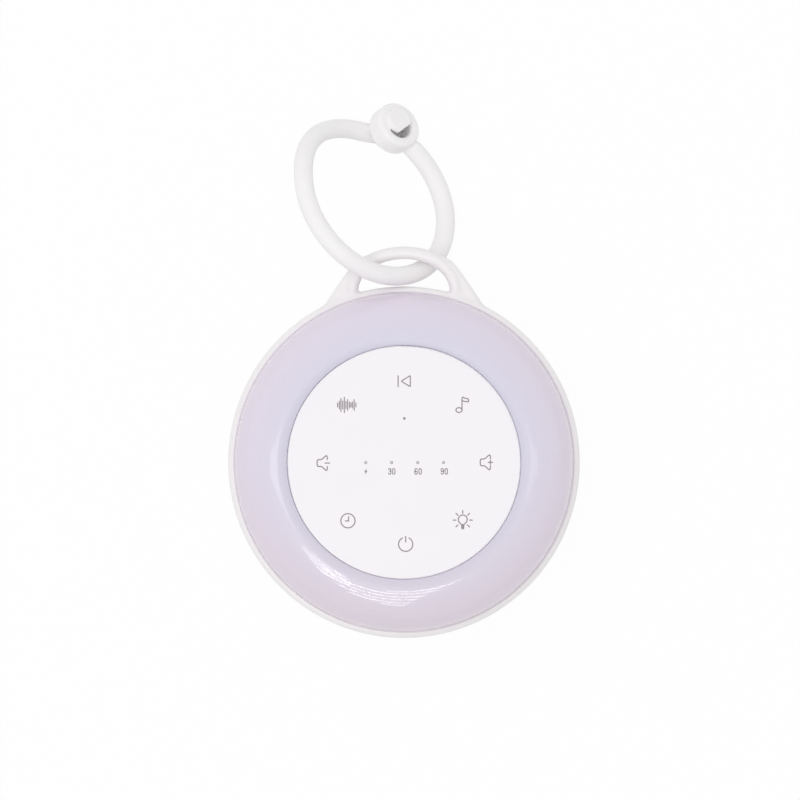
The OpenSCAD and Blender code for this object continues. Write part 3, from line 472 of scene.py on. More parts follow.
# %% Fillet
SEAM_REACH = 2.2
SEAM_ROUNDS = 60
SEAM_RATE = 0.6
SEAM_FROM_Y = 30 * MM
ON_SURFACE = 0.004 * MM
EDGE_KEPT = 0.4
EDGE_BLEND = 0.8


def relax(piece, seam, reach, rounds):
    """Averages the points near the seam with their neighbours."""
    mesh = piece.data
    count = len(mesh.vertices)
    co = np.empty(count * 3)
    mesh.vertices.foreach_get("co", co)
    co = co.reshape(-1, 3)
    pairs = np.empty(len(mesh.edges) * 2, int)
    mesh.edges.foreach_get("vertices", pairs)
    pairs = pairs.reshape(-1, 2)
    tree = KDTree(len(seam))
    for i, p in enumerate(seam):
        tree.insert(p, i)
    tree.balance()
    distance = np.array([tree.find(p)[2] for p in co])
    strength = np.clip(1 - distance / (reach * MM), 0, 1) ** 1.5
    from_edge = np.hypot(co[:, 0], co[:, 1]) / MM - CAVITY_R
    strength *= np.clip((from_edge - EDGE_KEPT) / EDGE_BLEND, 0, 1)
    pairs = pairs[(strength[pairs] > 0).any(axis=1)]
    neighbours = np.bincount(pairs.ravel(), minlength=count)
    for _ in range(rounds):
        total = np.zeros_like(co)
        np.add.at(total, pairs[:, 0], co[pairs[:, 1]])
        np.add.at(total, pairs[:, 1], co[pairs[:, 0]])
        mean = total / np.maximum(neighbours, 1)[:, None]
        move = (strength > 0)[:, None] * (mean - co)
        co = co + move * SEAM_RATE * strength[:, None]
    mesh.vertices.foreach_set("co", co.ravel())
    mesh.update()


def bowl_distance(p):
    """Distance in metres from the bowl's outer wall or its rounded rim."""
    r, z = math.hypot(p.x, p.y) / MM, p.z / MM
    if z < RIM_Z - RIM_ROUND:
        return abs(r - BODY_R) * MM
    return abs(math.hypot(r - BODY_R + RIM_ROUND, z - RIM_Z + RIM_ROUND) - RIM_ROUND) * MM


def arch_distance(p):
    """Distance in metres from the arch's skin, where that is under a millimetre."""
    distance = arch_surface.find_nearest(p, MM)[3]
    return math.inf if distance is None else distance


seam = [
    v.co.copy() for v in housing.data.vertices
    if v.co.y > SEAM_FROM_Y
    and bowl_distance(v.co) < ON_SURFACE
    and arch_distance(v.co) < ON_SURFACE
]
print("points on the seam:", len(seam))
relax(housing, seam, SEAM_REACH, SEAM_ROUNDS)

# %% [markdown]
# ## Rear housing: posts, seats and openings
# Inside the bowl stand the screw posts, the speaker's seat, the ribs that carry the
# chassis and the pad behind the lock slider. They are made here too, so that the moulding
# is whole when it is seen from inside. Then one tool cuts the bores, the USB-C opening
# and the lock's pocket. The mouth of a pocket gets a small rounded lip: its outline grows
# as it nears the wall's surface, and it is bent round the wall.

# %% Inside features
POST_D = 8.4
POST_TOP = 14
BOSS_BASE = FOOT_H + WALL / 2
FOOT_CIRCLE_R = BACK_R - 5.5
SPEAKER_R = 20
SPEAKER_Z = 5.8
SPEAKER_SCREW_R = SPEAKER_R + 2.5
SPEAKER_BOSS_D = 4.6
SEAT_IN, SEAT_OUT = SPEAKER_R + 0.25, SPEAKER_R + 1.6
SEAT_TOP = FLOOR_Z + 2
BOARD_POST = (20.5, 32)
BOARD_POST_D = 5.2
BOARD_Z = 12.4
BOARD_T = 1.2
CHASSIS_Z = RIM_Z - 4
RIB_COUNT = 5
RIB_IN = 46
RIB_LOW = 8
RIB_T = 1.6
LOCK_A = 22
LOCK_Z = BOARD_Z + BOARD_T + 1.5
LOCK_FLOOR = BODY_R - 1.6
LOCK_PAD_IN, LOCK_PAD_OUT = LOCK_FLOOR - 2.5, BODY_R - 1
LOCK_PAD_HALF = (7.5, 3.5)


def turn(points, degrees):
    """Points turned about Z."""
    c, s = on_circle(1, degrees)
    return [(x * c - y * s, x * s + y * c, z) for x, y, z in points]


def slab(name, outline, low, high, degrees=0):
    """An upright prism over an outline, turned about Z."""
    return skin(name, [turn([(*p, z) for p in outline], degrees) for z in (low, high)])


foot_places = [on_circle(FOOT_CIRCLE_R, a) for a in (45, 135, 225, 315)]
speaker_screws = [on_circle(SPEAKER_SCREW_R, a) for a in (30, 150, 270)]
board_posts = [(x * BOARD_POST[0], -BOARD_POST[1]) for x in (-1, 1)]
features = [rod("post", x, y, BOSS_BASE, POST_TOP, POST_D) for x, y in foot_places]
features += [rod("boss", x, y, BOSS_BASE, SPEAKER_Z + 1, SPEAKER_BOSS_D)
             for x, y in speaker_screws]
features += [rod("board_post", x, y, BOSS_BASE, BOARD_Z, BOARD_POST_D) for x, y in board_posts]
seat = [(SEAT_IN, BOSS_BASE), (SEAT_OUT, BOSS_BASE), (SEAT_OUT, SEAT_TOP), (SEAT_IN, SEAT_TOP)]
features.append(turned("seat", seat))
inner_side = [(CAVITY_R + 0.5, CHASSIS_Z), (RIB_IN, CHASSIS_Z), (RIB_IN, RIB_LOW)] + [
    (x, z) for x, z in arc(BACK_R, CORNER_Z, CORNER_R - WALL + 0.5, -45, 0, 8) if x > RIB_IN
]
for k in range(RIB_COUNT):
    sides = [turn([(r, y, z) for r, z in inner_side], 90 + 360 * k / RIB_COUNT)
             for y in (-RIB_T / 2, RIB_T / 2)]
    features.append(skin("rib", sides))
pad_w, pad_h = LOCK_PAD_HALF
lock_pad = [(LOCK_PAD_IN, -pad_w), (LOCK_PAD_OUT, -pad_w),
            (LOCK_PAD_OUT, pad_w), (LOCK_PAD_IN, pad_w)]
features.append(slab("lock_pad", lock_pad, LOCK_Z - pad_h, LOCK_Z + pad_h, LOCK_A - 90))
for feature in features:
    combine(housing, feature, "UNION")
print("housing faces with its inside:", len(housing.data.polygons))

# %% Bores and pockets
FOOT_BORES = [(9.3, FOOT_H + 1), (5.8, 8), (3.2, POST_TOP + 1)]
SPEAKER_HOLE_D = 1.7
BOARD_HOLE_D = 1.9
LIP = 0.35
LIP_STEPS = 6
LIP_START = 8
LIP_SPREAD = 0.6
USB_W = 8.94 + 0.5
USB_H = 3.2 + 0.5
USB_Z = BOARD_Z + BOARD_T + 1.6
LOCK_POCKET = (13, 5.6)
POCKET_ROUND = 0.8
LOCK_SLOT = (7.1, 2.8)
SLOT_DEEP = 15
SLOT_ROUND = 0.3


def rounded_rect(width, height, radius, steps=8):
    """An outline centred on the origin, counterclockwise."""
    x, y = width / 2 - radius, height / 2 - radius
    corners = [(x, y, 0), (-x, y, 90), (-x, -y, 180), (x, -y, 270)]
    return [p for cx, cy, a in corners for p in arc(cx, cy, radius, a, a + 90, steps)]


def wall_pocket(name, size, radius, floor_x, z, degrees):
    """A pocket's cutter from outside the wall to a flat floor, with a rounded lip.

    The first ring stands clear of the wall and is flat, like the last, so both caps are.
    """
    rounding = []
    for i in range(LIP_STEPS + 1):
        a = math.radians(LIP_START + (90 - LIP_START) * i / LIP_STEPS)
        rounding.append((LIP * (1 - math.sin(a)), LIP * (1 - math.cos(a))))
    out = rounding[0][0] + LIP_SPREAD
    mouth = rounded_rect(size[0] + 2 * out, size[1] + 2 * out, radius + out)
    made = [[(BODY_R + 1, u, z + v) for u, v in mouth]]
    for grown, depth in [(out, -0.1)] + rounding:
        ring = rounded_rect(size[0] + 2 * grown, size[1] + 2 * grown, radius + grown)
        made.append([(*on_circle(BODY_R - depth, math.degrees(u / BODY_R)), z + v)
                     for u, v in ring])
    made.append([(floor_x, u, z + v) for u, v in rounded_rect(*size, radius)])
    return skin(name, [turn(ring, degrees) for ring in made])


# Each foot's recess, the room for the screw's head and the hole for its shank.
cutters = [rod("bore", x, y, -1, top, d) for x, y in foot_places for d, top in FOOT_BORES]
cutters += [rod("screw_hole", x, y, FLOOR_Z, 10, SPEAKER_HOLE_D, 24) for x, y in speaker_screws]
cutters += [rod("board_hole", x, y, FLOOR_Z, BOARD_Z + 1, BOARD_HOLE_D, 24)
            for x, y in board_posts]
cutters.append(wall_pocket("usb_mouth", (USB_W, USB_H), USB_H / 2 - 0.01,
                           CAVITY_R - 4, USB_Z, -90))
cutters.append(wall_pocket("lock_pocket", LOCK_POCKET, POCKET_ROUND,
                           LOCK_FLOOR, LOCK_Z, LOCK_A - 90))
slot = [(LOCK_FLOOR - 2 + x, y) for x, y in rounded_rect(SLOT_DEEP, LOCK_SLOT[0], SLOT_ROUND)]
slot_h = LOCK_SLOT[1] / 2
cutters.append(slab("lock_slot", slot, LOCK_Z - slot_h, LOCK_Z + slot_h, LOCK_A - 90))
for cutter in cutters:
    combine(housing, cutter, "DIFFERENCE")
smooth_shaded(housing)
print("housing faces when cut:", len(housing.data.polygons))

housing.name = "housing_shell"
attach(housing, "machine")
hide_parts("rear_housing")

# %% [markdown]
# ## Light ring
# A translucent ring carries the light of the LEDs from the chassis to the front. In
# section it is a straight flank, a quarter of an ellipse up to the crest beside the
# panel, and a small lip that rolls down to the panel. It is a thin wall, so the profile
# runs along its inside and back along its outside. The ring is a tight fit in the housing,
# a hundredth of a millimetre over size, and a small bead at its foot rounds the corner
# where it meets the rim. Five hooks snap it to the chassis.

# %% Light ring
DECK_Z = CHASSIS_Z + 1.6
TIGHT = 0.01
RING_R = CAVITY_R + TIGHT
RING_T = 2
RING_INNER_R = 34.9
CREST_R = 37.5
DOME_Z = DECK_Z + 2.9
BODY_TOP = 44
LIP_DROP = 0.85
LIP_EDGE = 0.15
PANEL_Z = 40.8
RING_SEAT_R = 37
RING_CHAMFER = 0.2
BEAD = 0.4
BEAD_Z = RIM_Z + TIGHT
HOOK_A = 7
HOOK_T = 1.6
HOOK_BARB = 1
HOOK_DROP = 3
RING_SHARP_ANGLE = 50


def dome(inset, steps):
    """From the crest out and down to the flank, as far inside the skin as inset."""
    width, height = RING_R - CREST_R - inset, BODY_TOP - DOME_Z - inset
    return [(CREST_R + width * math.sin(a), DOME_Z + height * math.cos(a))
            for a in np.linspace(0, math.pi / 2, steps + 1)]


def lip(steps):
    """The rolled edge from the crest to the panel's gap: an arc, level at the crest."""
    width = CREST_R - RING_INNER_R
    radius = (width ** 2 + LIP_DROP ** 2) / (2 * LIP_DROP)
    reach = math.degrees(math.asin(width / radius))
    return arc(CREST_R, BODY_TOP - radius, radius, 90, 90 + reach, steps)


ring_profile = (
    [(RING_INNER_R, PANEL_Z), (RING_SEAT_R, PANEL_Z)]
    + dome(RING_T, 32)
    + line((RING_R - RING_T, DOME_Z), (RING_R - RING_T, DECK_Z), 2)[1:]
    + [(RING_R - RING_T, DECK_Z), (RING_R - RING_CHAMFER, DECK_Z)]
    + [(RING_R, DECK_Z + RING_CHAMFER), (RING_R, BEAD_Z)]
    + arc(RING_R + BEAD, BEAD_Z + BEAD, BEAD, 270, 180, 6)
    + dome(0, 64)[::-1]
    + lip(12)[1:-1]
    + arc(RING_INNER_R + LIP_EDGE, BODY_TOP - LIP_DROP - 0.14, LIP_EDGE, 100, 180, 3)
)
light_ring = turned("light_ring", ring_profile)
hook_in = RING_R - 1.7
hook_out = hook_in + HOOK_T
hook_top, barb_z, hook_end = DECK_Z + 0.5, CHASSIS_Z - 0.1, DECK_Z - HOOK_DROP
hook = [(hook_in, hook_top), (hook_in, barb_z), (hook_in - HOOK_BARB, barb_z),
        (hook_in, hook_end), (hook_out, hook_end), (hook_out, hook_top)]
for k in range(RIB_COUNT):
    middle = 90 + 360 * (k + 0.5) / RIB_COUNT
    angles = np.linspace(middle - HOOK_A / 2, middle + HOOK_A / 2, 9)
    sections = [[(*on_circle(r, a), z) for r, z in hook] for a in angles]
    combine(light_ring, skin("hook", sections), "UNION")
smooth_shaded(light_ring, RING_SHARP_ANGLE)
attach(light_ring, "machine")
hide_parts("diffuser_ring")
print("light ring faces:", len(light_ring.data.polygons))

# %% [markdown]
# ## Strap
# One soft silicone moulding: a tube that starts at an eyelet, runs round in a loop and
# ends in a stud, whose head is pushed through the eyelet. The head has a flat side, and a
# pad under the hole lets no light through beside the stud. The middle line is worked out
# in the plane of the eyelet and then turned to where the loop hangs. The pieces are
# remeshed into one skin, because real silicone has no sharp corner where they join.

# %% Strap
STRAP_D = 5.7
STRAP_R = STRAP_D / 2
LOOP_R = 25.5
LOOP_HALF = math.radians(72.5)
EYELET_D = 14.6
EYELET_H = 5
EYELET_TOP = 4
EYELET_HOLE = 8.2
EYELET_ROUND = 1.2
EYELET_STEP = 2.5
STUD_D = 4.8
STUD_SIDES = 72
HEAD_D = 7.8
HEAD_H = 2
HEAD_CUT = 2.9
HEAD_CUT_A = -30
PAD_D = EYELET_HOLE + 1.6
EYELET_X = -3.35
EYELET_Y = ARCH_TOP + 35.3
STRAP_TURN = (-24, 37.5, -31.4)
STUD_AT = np.array([-1.1, 0.3])
DROP_L = 40
STRAIGHT_L = LOOP_R / math.tan(LOOP_HALF)
LOOP_CY = -LOOP_R / math.sin(LOOP_HALF)
ROOT_AT = (EYELET_HOLE + EYELET_D) / 4
ROOT_L = STRAIGHT_L - ROOT_AT
ARC_L = LOOP_R * (math.pi + 2 * LOOP_HALF)
STRAP_L = ROOT_L + ARC_L + STRAIGHT_L + STRAP_R * 0.9
TAIL_DROP = EYELET_H / 2 + STRAP_R + 0.3
STRAP_SIDES = 56
STRAP_RINGS = 300
STRAP_VOXEL = 0.22
STRAP_SOFTENING = 0.5
STRAP_PASSES = 8
ROOT_BLEND = 3


def ease(t):
    """From 0 to 1 as t does, gently at both ends."""
    u = min(1, max(0, t))
    return u * u * (3 - 2 * u)


def strap_point(s):
    """Middle of the tube at the distance s from its root, in the eyelet's frame."""
    t = s - ROOT_L - ARC_L
    if s < ROOT_L:
        x, y = np.array([math.sin(LOOP_HALF), -math.cos(LOOP_HALF)]) * (ROOT_AT + s)
    elif t < 0:
        a = LOOP_HALF - (s - ROOT_L) / LOOP_R
        x, y = LOOP_R * math.cos(a), LOOP_CY + LOOP_R * math.sin(a)
    else:
        back = np.array([-math.sin(LOOP_HALF), -math.cos(LOOP_HALF)])
        x, y = back * (STRAIGHT_L - t) + STUD_AT * ease(t / STRAIGHT_L)
    fall = ease((s - (ROOT_L + ARC_L - 2) + DROP_L) / DROP_L)
    return np.array([x, y, -TAIL_DROP * fall])


def strap_radius(s):
    """Radius of the tube at s: flush with the eyelet at its root and round at its end."""
    left = STRAP_L - s
    if s < ROOT_BLEND:
        start = EYELET_H / 2 - 0.15
        return start + (STRAP_R - start) * ease(s / ROOT_BLEND)
    if left < STRAP_R:
        return STRAP_R * math.sqrt(max(0.02, 1 - (1 - left / STRAP_R) ** 2))
    return STRAP_R


def tube(name, path, radii, sides):
    """A round tube along a path, whose sides never turn over."""
    heads = [path[min(i + 1, len(path) - 1)] - path[max(i - 1, 0)] for i in range(len(path))]
    rings = []
    for middle, head, radius in zip(path, heads, radii):
        head = head / np.linalg.norm(head)
        across = np.cross([0, 0, 1], head)
        across /= np.linalg.norm(across)
        other = np.cross(head, across)
        rings.append([middle + radius * (math.cos(t) * across + math.sin(t) * other)
                      for t in np.linspace(0, 2 * math.pi, sides, endpoint=False)])
    return skin(name, rings)


def strap_matrix():
    """The turn from the eyelet's frame to the machine's."""
    (cx, sx), (cy, sy), (cz, sz) = (on_circle(1, a) for a in STRAP_TURN)
    about_x = np.array([[1, 0, 0], [0, cx, -sx], [0, sx, cx]])
    about_y = np.array([[cy, 0, sy], [0, 1, 0], [-sy, 0, cy]])
    about_z = np.array([[cz, -sz, 0], [sz, cz, 0], [0, 0, 1]])
    return about_y @ about_x @ about_z


turn_strap = strap_matrix()
stops = list(np.linspace(0, STRAP_L - STRAP_R, STRAP_RINGS))
stops += [STRAP_L - STRAP_R * (1 - u) for u in np.sin(np.linspace(0.12, 1, 12) * math.pi / 2)]
path = [strap_point(s) for s in stops]
up = turn_strap[2]
eyelet_low = EYELET_D / 2 * math.sqrt(1 - up[2] ** 2) + EYELET_H / 2 * up[2]
tube_low = max(STRAP_R - p @ up for p in path)
strap_place = np.array([EYELET_X, EYELET_Y, max(eyelet_low, tube_low) + 0.02])

strap = tube("strap", path, [strap_radius(s) for s in stops], STRAP_SIDES)
eyelet_w = (EYELET_D - EYELET_HOLE) / 2
eyelet_mid = (EYELET_D + EYELET_HOLE) / 4
eyelet_h = EYELET_TOP + EYELET_H / 2
eyelet_section = [(eyelet_mid + x, EYELET_TOP - eyelet_h / 2 + y)
                  for x, y in rounded_rect(eyelet_w, eyelet_h, EYELET_ROUND)]
eyelet = turned("eyelet", eyelet_section, np.arange(0, 360, EYELET_STEP))
combine(strap, eyelet, "UNION")
combine(strap, rod("hole", 0, 0, 0.01 - EYELET_H / 2, 2 * EYELET_H, EYELET_HOLE, 96), "DIFFERENCE")
stud_top = EYELET_TOP - 0.4
combine(strap, rod("stud", *STUD_AT, -TAIL_DROP, stud_top + 1, STUD_D, STUD_SIDES), "UNION")
pad = rod("pad", 0, 0, 1 - TAIL_DROP, 0.1 - EYELET_H / 2, PAD_D, STUD_SIDES)
combine(strap, pad, "UNION")
head = rod("head", *STUD_AT, stud_top, stud_top + HEAD_H, HEAD_D, STUD_SIDES)
beyond_flat = [(HEAD_CUT, -HEAD_D), (HEAD_D, -HEAD_D), (HEAD_D, HEAD_D), (HEAD_CUT, HEAD_D)]
flat_cut = slab("flat", beyond_flat, stud_top - 0.1, stud_top + HEAD_H + 1, HEAD_CUT_A)
for v in flat_cut.data.vertices:
    v.co += Vector((STUD_AT[0] * MM, STUD_AT[1] * MM, 0))
combine(head, flat_cut, "DIFFERENCE")
combine(strap, head, "UNION")
for v in strap.data.vertices:
    v.co = Vector((turn_strap @ (np.array(v.co) / MM) + strap_place) * MM)

remesh = strap.modifiers.new("one skin", "REMESH")
remesh.mode = "VOXEL"
remesh.voxel_size = STRAP_VOXEL * MM
relaxing = strap.modifiers.new("soft edges", "SMOOTH")
relaxing.factor = STRAP_SOFTENING
relaxing.iterations = STRAP_PASSES
settled(strap)
strap.data.shade_smooth()
strap.name = "strap"
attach(strap, "strap")
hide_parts("carry_strap")
print("strap faces:", len(strap.data.polygons), "length:", round(STRAP_L, 1), "mm")

# %% [markdown]
# ## Touch panel: the printed marks
# The panel's disc stays as the CAD made it. What it lacks is its print: a thin film of
# grey ink with a mark over each touch key and round windows over the small lights. Each
# mark is a few strokes of one width with round ends. A stroke is a flat ribbon a few
# hundredths of a millimetre proud of the panel, so that it is real geometry.

# %% Strokes
PANEL_FACE = BODY_TOP - 1.2
INK_LOW = PANEL_FACE - 0.04
INK_HIGH = PANEL_FACE + 0.03
INK_W = 0.36
DIGIT_W = 0.30
MARK_SCALE = 0.95


def rounded_path(points, ring=False, rounds=2, cut_at=0.25):
    """A polyline with its corners cut a few times, so that they read as curves."""
    points = [np.array(p, float) for p in points]
    for _ in range(rounds):
        following = points[1:] + points[:1] if ring else points[1:]
        cut = [q for a, b in zip(points, following)
               for q in (a + (b - a) * cut_at, b + (a - b) * cut_at)]
        points = cut if ring else [points[0]] + cut[1:-1] + [points[-1]]
    return points


def normals(points, ring):
    """Unit normals at the points of a path, long enough at a corner to keep its width."""
    count, found = len(points), []
    for i in range(count):
        before = points[i] - points[i - 1] if ring or i > 0 else points[1] - points[0]
        after = points[(i + 1) % count] - points[i] if ring or i < count - 1 else before
        a, b = before / np.linalg.norm(before), after / np.linalg.norm(after)
        n = np.array([-(a + b)[1], (a + b)[0]])
        n /= np.linalg.norm(n)
        found.append(n / max(0.5, n @ np.array([-a[1], a[0]])))
    return found


def stroke(points, width=INK_W, ring=False):
    """A flat ribbon of ink along a path."""
    points = [np.array(p, float) for p in points]
    sides = normals(points, ring)
    if ring:
        section = [(1, INK_LOW), (1, INK_HIGH), (-1, INK_HIGH), (-1, INK_LOW)]
        return skin("stroke", [[(*(p + n * width / 2 * k), z) for k, z in section]
                               for p, n in zip(points, sides)], closed=True)
    left = [p + n * width / 2 for p, n in zip(points, sides)]
    right = [p - n * width / 2 for p, n in zip(points, sides)]
    end = math.degrees(math.atan2(*(-sides[-1])[::-1]))
    start = math.degrees(math.atan2(*sides[0][::-1]))
    outline = right + arc(*points[-1], width / 2, end, end + 180, 8)[1:-1]
    outline += left[::-1] + arc(*points[0], width / 2, start, start + 180, 8)[1:-1]
    return skin("stroke", [[(*p, z) for p in outline] for z in (INK_LOW, INK_HIGH)])


def blob(points):
    """A filled shape of ink."""
    return skin("stroke", [[(*p, z) for p in points] for z in (INK_LOW, INK_HIGH)])


def mark(name, place, strokes):
    """One printed mark: its strokes joined into one film, at its place on the panel."""
    film = strokes[0]
    for other in strokes[1:]:
        combine(film, other, "UNION")
    for v in film.data.vertices:
        v.co = (v.co.x * MARK_SCALE + place[0] * MM, v.co.y * MARK_SCALE + place[1] * MM, v.co.z)
    film.name = name
    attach(film, "machine")
    return film


def full_circle(radius, steps=48):
    """A full circle round the origin, for stroke() or blob()."""
    return arc(0, 0, radius, 0, 360, steps)[:-1]


# %% [markdown]
# ## The marks of the touch keys
# They are the plain signs that such a panel carries: back, wave, note, quieter and
# louder, clock, power and lamp, then a charging bolt and the timer's 30, 60 and 90
# minutes under their small round windows.

# %% Marks
TRIANGLE = [(-1.05, 0), (1.82, -1.75), (1.82, 1.75)]
WAVE_BARS = [(-2.8, 0.6), (-2.28, 1.2), (-1.78, 2.0), (-1.24, 1.25), (-0.71, 2.4), (-0.2, 1.1),
             (0.32, 1.65), (0.9, 0.95), (1.36, 0.6), (1.83, 0.95), (2.37, 1.65), (2.93, 0.6)]
QUIETER = [(1.33, 1.1), (1.3, 2.0), (0.95, 2.45), (-0.4, 1.06), (-1.6, 1.06), (-1.88, 0.75),
           (-1.88, -0.75), (-1.6, -1.06), (-0.4, -1.06), (0.95, -2.45), (1.3, -2.0), (1.33, -1.1)]
FLAG = [(-0.12, 1.2), (-0.12, 2.2), (0.2, 2.5), (0.9, 2.05), (1.7, 2.0), (2.05, 1.45), (1.8, 0.9),
        (1.1, 1.1), (0.5, 1.1), (-0.02, 1.4)]
BOLT = [(0.21, 0.95), (-0.51, -0.12), (-0.12, -0.2), (-0.25, -0.98), (0.53, 0.2), (0.12, 0.22)]
ZERO = [(0.37, 0.45), (0.3, 0.86), (-0.3, 0.86), (-0.37, 0.45), (-0.37, -0.45), (-0.3, -0.86),
        (0.3, -0.86), (0.37, -0.45)]
THREE = [(-0.36, 0.55), (-0.25, 0.86), (0.25, 0.88), (0.36, 0.5), (0.3, 0.08), (-0.1, 0.04),
         (0.32, 0.0), (0.4, -0.5), (0.25, -0.88), (-0.25, -0.88), (-0.38, -0.55)]
SIX = [(0.34, 0.6), (0.15, 0.88), (-0.28, 0.84), (-0.38, 0.3), (-0.38, -0.3), (-0.34, -0.86),
       (0.3, -0.88), (0.38, -0.45), (0.34, 0.02), (-0.2, 0.08), (-0.37, -0.2)]
NINE = [(-x, -y) for x, y in SIX]
NOTE_HEAD = [(-1.08 + 0.95 * math.cos(t), -1.6 + 0.75 * math.sin(t))
             for t in np.linspace(0, 2 * math.pi, 32, endpoint=False)]
LAMP_FOOT = [(-0.55, -1.25), (-0.45, -2.6), (-0.25, -2.9),
             (0.25, -2.9), (0.45, -2.6), (0.55, -1.25)]
SIGN_R = 2.22
BAR_W = 0.34
TIMES = [("30", -3.68, THREE), ("60", 4.18, SIX), ("90", 11.95, NINE)]
TIMES_Y = -2.68
DIGIT_STEP = 1.27
DIGIT_MIDDLE = 0.63
CHARGE_LIGHT_R = 0.42
WINDOW_R = 0.29
WINDOW_EDGE_R = 0.38
WINDOW_EDGE_W = 0.17
WINDOWS_X = (-11.4, -3.7, 4.1, 11.8)
WINDOWS_Y = -0.05

marks = [
    mark("mark_back", (0.15, 24.2), [
        stroke([(-2, 1.7), (-2, -1.7)]),
        stroke(rounded_path(TRIANGLE, ring=True, cut_at=0.06), ring=True),
    ]),
    mark("mark_wave", (-17.1, 17.1), [stroke([(x, h), (x, -h)], BAR_W) for x, h in WAVE_BARS]),
    mark("mark_note", (17.4, 17.1), [
        stroke([(-0.12, 1.6), (-0.12, -1.5)]),
        stroke(rounded_path(FLAG, ring=True, cut_at=0.16), ring=True),
        stroke(NOTE_HEAD, ring=True),
    ]),
    mark("mark_quieter", (-24.1, -0.2), [
        stroke(rounded_path(QUIETER, rounds=1)), stroke([(0.62, 0), (1.98, 0)])]),
    mark("mark_louder", (24.5, 0), [
        stroke(rounded_path(QUIETER, rounds=1)), stroke([(0.62, 0), (1.98, 0)]),
        stroke([(1.3, 0.62), (1.3, -0.62)])]),
    mark("mark_clock", (-16.7, -17.4), [
        stroke(full_circle(SIGN_R), ring=True),
        stroke([(0.2, 1.25), (0.2, -0.05), (-0.82, -0.05)])]),
    mark("mark_power", (0.5, -24.4), [
        stroke(arc(0, 0, SIGN_R, 117, 423, 48)), stroke([(0, 2.45), (0, 0.75)])]),
    mark("mark_lamp", (17.5, -17.2), [
        stroke([(0.45, -1.35)] + arc(0, 0.2, 1.4, -52, 232, 48) + [(-0.45, -1.35)]),
        blob(LAMP_FOOT),
        *[stroke([on_circle(2.15, a), on_circle(3.0, a)]) for a in range(-45, 226, 45)],
    ]),
    mark("mark_charge", (-11.35, -2.72), [blob(BOLT)]),
]
for name, x, digit in TIMES:
    first = stroke(rounded_path(digit), DIGIT_W)
    for v in first.data.vertices:
        v.co.x -= DIGIT_STEP * MM
    zero = stroke(rounded_path(ZERO, ring=True), DIGIT_W, ring=True)
    marks.append(mark("mark_" + name, (x + DIGIT_MIDDLE, TIMES_Y), [first, zero]))
windows = []
marks.append(mark("charge_light", (0.1, 13.1), [blob(full_circle(CHARGE_LIGHT_R, 24))]))
for k, x in enumerate(WINDOWS_X):
    edge = stroke(full_circle(WINDOW_EDGE_R, 24), WINDOW_EDGE_W, ring=True)
    marks.append(mark(f"window_edge_{k}", (x, WINDOWS_Y), [edge]))
    pane = blob(full_circle(WINDOW_R, 24))
    windows.append(mark(f"window_{k}", (x, WINDOWS_Y), [pane]))
print("marks on the panel:", len(marks), "windows:", len(windows))

# %% [markdown]
# ## Finishes
# Every finish starts from the same two things that a moulded surface shows close up: a
# slight unevenness in tone, and a grain in the gloss and the relief. Both come from noise
# in the object's own space, so they keep their real size on any piece. Colours are
# written as they look on a screen and turned into light values.

# %% Finish tools
BUMP_STRENGTH = 0.6
GLOSS_LUMPS = 0.6


def tone(r, g, b):
    """A colour of 0 to 255 as it looks on a screen, as linear light."""
    return (*(((c / 255 + 0.055) / 1.055) ** 2.4 for c in (r, g, b)), 1)


class Finish:
    """A material with the object's own coordinates and its shader at hand."""

    def __init__(self, name):
        self.material = bpy.data.materials.new(name)
        self.material.use_nodes = True
        self.nodes = self.material.node_tree.nodes
        self.shader = self.nodes["Principled BSDF"]
        self.place = self.add("TexCoord").outputs["Object"]

    def add(self, kind, **values):
        node = self.nodes.new("ShaderNode" + kind)
        for key, value in values.items():
            if hasattr(node, key):
                setattr(node, key, value)
            else:
                node.inputs[key.replace("_", " ")].default_value = value
        return node

    def link(self, out, into):
        self.material.node_tree.links.new(out, into)

    def noise(self, size, detail=3):
        """Noise whose lumps are about this many millimetres across."""
        node = self.add("TexNoise", Scale=1 / (size * MM), Detail=detail)
        self.link(self.place, node.inputs["Vector"])
        return node.outputs["Fac"]

    def range(self, value, low, high, start=0.3, stop=0.7):
        """From low to high as the value goes from start to stop."""
        node = self.add("MapRange", To_Min=low, To_Max=high)
        node.inputs["From Min"].default_value = start
        node.inputs["From Max"].default_value = stop
        self.link(value, node.inputs["Value"])
        return node.outputs["Result"]

    def mix(self, share, a, b):
        """One of two colours, or something between. Each may be a colour or a socket."""
        node = self.add("Mix", data_type="RGBA")
        self.link(share, node.inputs["Factor"])
        for socket, colour in ((node.inputs[6], a), (node.inputs[7], b)):
            if isinstance(colour, tuple):
                socket.default_value = colour
            else:
                self.link(colour, socket)
        return node.outputs[2]

    def set(self, **values):
        """Plain values of the shader."""
        for key, value in values.items():
            self.shader.inputs[key.replace("_", " ")].default_value = value
        return self

    def surface(self, colour, uneven, size, rough, rough_spread, grain, relief):
        """Uneven tone, uneven gloss and a fine relief."""
        darker = tuple(c * (1 - uneven) for c in colour[:3]) + (1,)
        mixed = self.mix(self.range(self.noise(size), 0, 1), colour, darker)
        self.link(mixed, self.shader.inputs["Base Color"])
        gloss = self.noise(size * GLOSS_LUMPS)
        self.link(self.range(gloss, rough - rough_spread, rough + rough_spread),
                  self.shader.inputs["Roughness"])
        self.relief(self.noise(grain, 2), relief)
        return self

    def relief(self, height, depth):
        """Bumps of this depth in millimetres."""
        bump = self.add("Bump")
        bump.inputs["Strength"].default_value = BUMP_STRENGTH
        bump.inputs["Distance"].default_value = depth * MM
        self.link(height, bump.inputs["Height"])
        self.link(bump.outputs["Normal"], self.shader.inputs["Normal"])


def wear(piece, finish):
    """Puts a finish on a piece, in place of whatever it had."""
    piece.data.materials.clear()
    piece.data.materials.append(finish.material)
